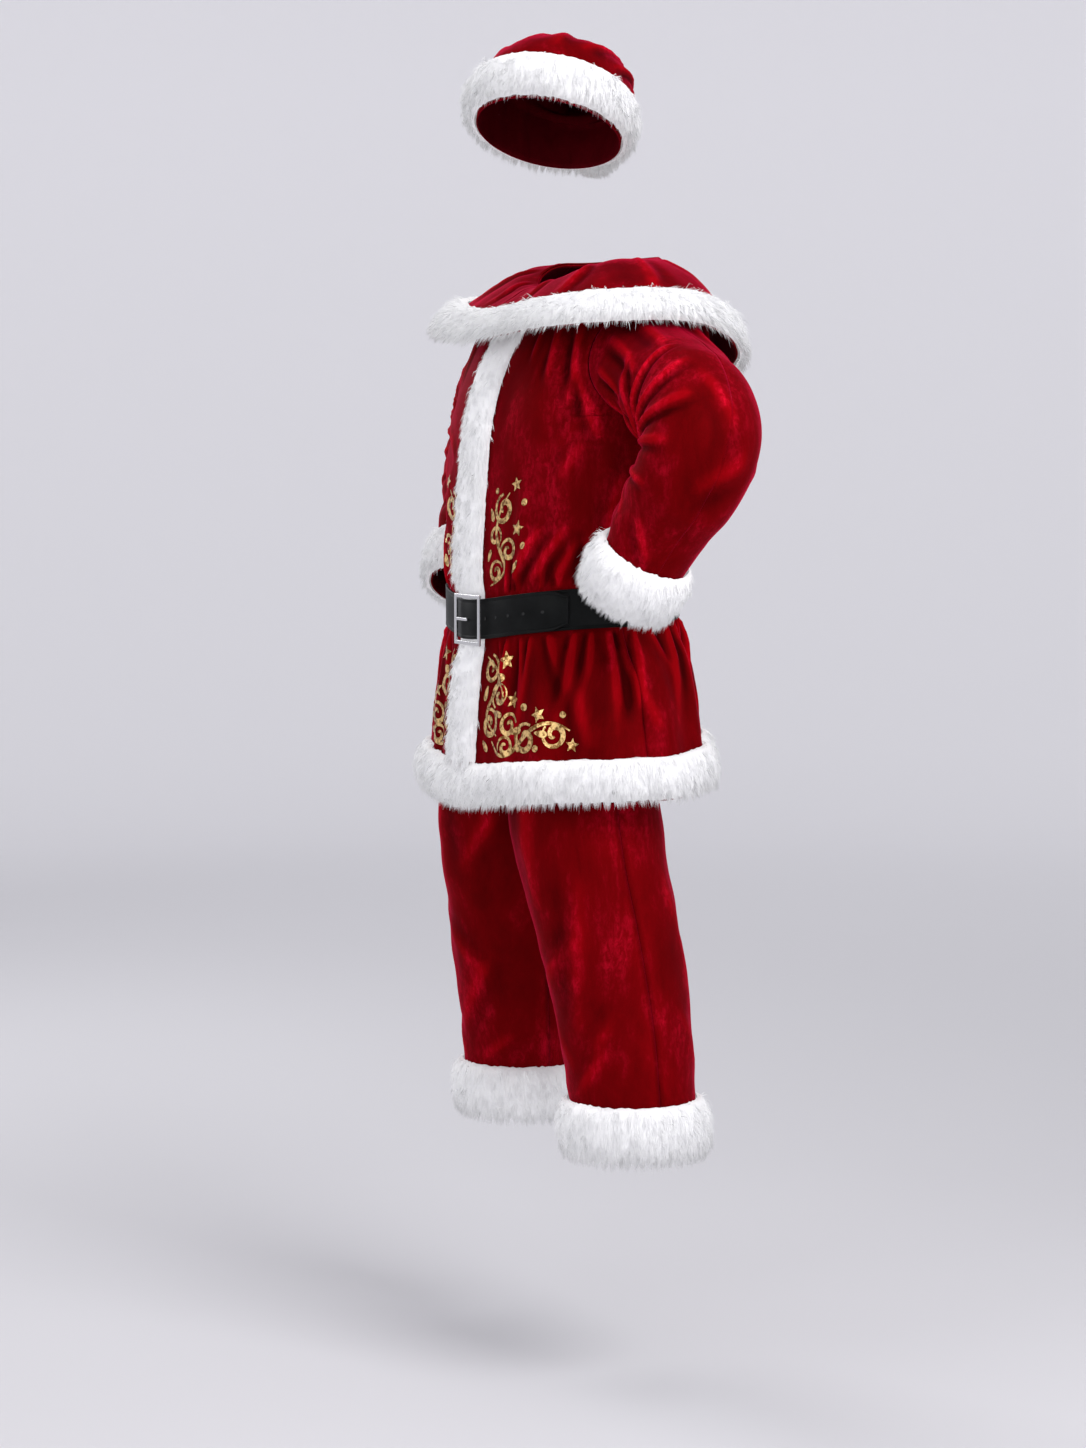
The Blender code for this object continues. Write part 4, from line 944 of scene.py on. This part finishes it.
def ring_lengths(up):
    """Angles round the coat at that place, and the length of cloth from the front's middle to each."""
    angles = linspace(0, radians(110), 240)
    steps = np.linalg.norm(np.diff(plain_coat(up, angles), axis=0), axis=-1)
    return angles, concatenate([[0], np.cumsum(steps)])


def ribbon(line, width, taper):
    """The two edges of a band along a line, one after the other, and the triangles between them."""
    step = np.gradient(line, axis=0)
    side = stack([-step[:, 1], step[:, 0]], -1) / np.linalg.norm(step, axis=1, keepdims=True)
    half = width * taper[:, None] / 2
    n = len(line)
    triangles = [f for i in range(n - 1) for f in ((i, i + n, i + n + 1), (i, i + n + 1, i + 1))]
    return concatenate([line - side * half, line + side * half]), triangles


def scroll(size, hand):
    """A ribbon from its tail to its curled end."""
    t = linspace(0, 1, 46)
    angle = hand * (t ** 0.8) * 1.40 * 2 * pi
    line = (size * (1 - 0.86 * t))[:, None] * stack([cos(angle), sin(angle)], -1)
    return ribbon(line, size * 0.4, 0.25 + 0.75 * sin(pi * np.clip(t * 0.92 + 0.05, 0, 1)) ** 0.8)


def stem(points):
    """A curved ribbon through a few points."""
    points = array(points, float)
    keys = linspace(0, 1, len(points))
    t = linspace(0, 1, 40)
    line = stack([np.polyval(np.polyfit(keys, points[:, k], 3), t) for k in (0, 1)], -1)
    return ribbon(line, 0.0058, 0.3 + 0.7 * sin(pi * t) ** 0.7)


def motif(kind, size):
    """A star, dot or leaf as points from its middle to its edge, and its triangles."""
    a = circle(10 if kind == "star" else 40)
    if kind == "star":
        reach = np.where(arange(10) % 2 == 0, size, size * 0.46)
        corners = stack([reach * sin(a), reach * cos(a)], -1)
        shape = concatenate([linspace(here, after, 4, endpoint=False)
                             for here, after in zip(corners, np.roll(corners, -1, axis=0))])
    elif kind == "leaf":
        shape = stack([size * 0.42 * sin(a) * (1 - 0.35 * cos(a)), size * cos(a)], -1)
    else:
        shape = stack([size * sin(a), size * cos(a)], -1)
    n = len(shape)
    triangles = []
    for i in range(1, n + 1):
        j = i % n + 1
        triangles += [(0, i, j), (i, n + i, n + j), (i, n + j, j)]
    return concatenate([[(0.0, 0.0)], shape * 0.5, shape]), triangles


# The print on one front panel: rows of metres from the opening, place up the coat, size and degrees turned
PRINT_ROWS = (
    ("scroll", "0.078 0.372 0.017 100, 0.062 0.338 0.012 -60, 0.092 0.318 0.014 200, 0.066 0.292 0.013 20"),
    ("star", "0.1 0.402 0.0085 12, 0.11 0.345 0.0095 -10"),
    ("dot", "0.118 0.378 0.004 0, 0.122 0.322 0.004 0, 0.06 0.396 0.0034 0"),
    ("leaf", "0.052 0.366 0.008 24, 0.108 0.296 0.0085 -40, 0.05 0.314 0.007 160"),
    ("scroll", "0.062 0.17 0.015 80, 0.086 0.136 0.016 240, 0.064 0.1 0.017 120, 0.106 0.096 0.014 10, "
     "0.138 0.078 0.017 60, 0.184 0.082 0.015 140, 0.1 0.07 0.012 200"),
    ("star", "0.1 0.178 0.01 6, 0.112 0.128 0.0105 -14, 0.16 0.108 0.0095 20, 0.208 0.068 0.008 -8"),
    ("dot", "0.092 0.158 0.0046 0, 0.136 0.118 0.0042 0, 0.156 0.066 0.0038 0, 0.124 0.066 0.0034 0, "
     "0.196 0.106 0.0036 0"),
    ("leaf", "0.052 0.14 0.009 -20, 0.084 0.112 0.008 70, 0.12 0.088 0.009 100, 0.164 0.084 0.0085 80, "
     "0.054 0.072 0.008 40"),
)
PRINT_STEMS = (
    ((0.052, 0.275), (0.085, 0.300), (0.066, 0.335), (0.088, 0.392)),
    ((0.050, 0.185), (0.080, 0.150), (0.058, 0.120), (0.082, 0.084)),
    ((0.070, 0.078), (0.110, 0.062), (0.150, 0.090), (0.205, 0.086)),
)


def make_print():
    points, faces = [], []
    high, low = ring_lengths(0.33), ring_lengths(0.11)

    def lay(shape, triangles, mirror):
        s, t = shape[:, 0], shape[:, 1]
        angles, lengths = high if t.mean() > 0.23 else low
        angle = np.interp(s, lengths, angles) * mirror
        faces.append(array(triangles)[:, ::mirror] + sum(len(p) for p in points))
        points.append(moved(coat, t, angle, coat_extra(t, angle) + 0.0006, 1, plain_coat))

    for mirror in (1, -1):
        for kind, rows in PRINT_ROWS:
            for s, t, size, degrees in table(rows):
                turn = radians(degrees)
                spin = array([[cos(turn), sin(turn)], [-sin(turn), cos(turn)]])
                size = size * 1.15
                hand = 1 if degrees % 40 else -1
                shape, triangles = scroll(size, hand) if kind == "scroll" else motif(kind, size)
                lay(shape @ spin + (s, t), triangles, mirror)
        for line in PRINT_STEMS:
            lay(*stem(line), mirror)
    mesh_piece("gold_print", concatenate(points), concatenate(faces), (GOLD,))


def make_stage():
    """A round bowl of pale paper, so that every view has the same floor and backdrop, and the lights."""
    sides = 72
    rise = linspace(0, QUARTER, 12)
    reach = concatenate([[0.02, 1.5, 3.0, 4.5], 6.0 + 2.4 * sin(rise), [8.4]])[:, None]
    height = concatenate([[0, 0, 0, 0], 2.4 - 2.4 * cos(rise), [4.6]])[:, None] - 0.002
    angle = circle(sides)
    points = stack(np.broadcast_arrays(reach * cos(angle), reach * sin(angle), height), -1)
    mesh = bpy.data.meshes.new("studio_floor")
    mesh.from_pydata((points.reshape(-1, 3) - ORIGIN).tolist(), [],
                     [list(range(sides))] + grid_faces(len(reach), sides, True)[:, ::-1].tolist())
    mesh.shade_smooth()
    made, tree, paper = shader("studio_paper", (0.70, 0.69, 0.72), 0.9, Emission_Color=(0.965, 0.96, 1.0, 1))
    far = added(tree, "VectorMath")
    far.operation = "LENGTH"
    tree.links.new(added(tree, "TexCoord").outputs["Object"], far.inputs[0])
    share = ranged(tree, far.outputs["Value"], From_Min=0.0, From_Max=10.0)
    glow = ramp(tree, share, (0.20, 0), (0.45, 0.16), (0.70, 0.27), (0.90, 0.30))
    fill(tree, paper, Emission_Strength=glow)
    made.cycles.emission_sampling = "NONE"
    mesh.materials.append(made)
    placed("studio_floor", mesh)
    world = bpy.data.worlds.new("studio")
    bpy.context.scene.world = world
    world.use_nodes = True
    fill(world.node_tree, world.node_tree.nodes["Background"], Color=(0.93, 0.94, 1.0, 1), Strength=0.34)
    for name, azimuth, height, distance, size, power in (
            ("key", 98, 3.0, 3.0, 1.6, 90), ("fill", 20, 2.0, 3.6, 1.6, 20), ("top", 60, 4.0, 0.6, 1.6, 22),
            ("back_left", -75, 2.6, 3.2, 1.4, 40)):
        light = bpy.data.lights.new(name, "AREA")
        light.size, light.energy = size, power
        lamp = placed(name, light)
        a = radians(azimuth)
        eye = array((sin(a) * distance, -cos(a) * distance, height)) - ORIGIN
        x, y, z = array((0, 0, 1.0)) - ORIGIN - eye
        lamp.location = eye
        lamp.rotation_euler = (math.atan2(math.hypot(x, y), -z), 0, math.atan2(y, x) - QUARTER)


def make_camera():
    """The camera stands where the photo's perspective puts it, a little to one side of the suit's middle."""
    turn, down, distance, height, aside = radians(64), radians(5.01), 4.7, 1.276, 0.0315
    camera = bpy.data.cameras.new("camera")
    camera.sensor_width, camera.lens = 36.0, 89.05
    ahead = array((sin(turn), -cos(turn), 0))
    eye = ahead * distance - aside * array((cos(turn), sin(turn), 0)) + (0, 0, height)
    seen = placed("camera", camera)
    seen.location = eye - ORIGIN
    seen.rotation_euler = (QUARTER - down, 0, turn)
    bpy.context.scene.camera = seen


for make in (make_camera, make_stage, make_fur, make_pompom, make_belt, make_cape, make_coat, make_sleeves,
             make_trousers, make_crown, make_print):
    make()
for node, finish in (("belt_buckle", STEEL), ("buckle_prong", STEEL), ("trouser_waistband", REVERSE)):
    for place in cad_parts[node].material_slots:
        place.material = finish
bpy.context.scene.view_settings.view_transform = "Standard"
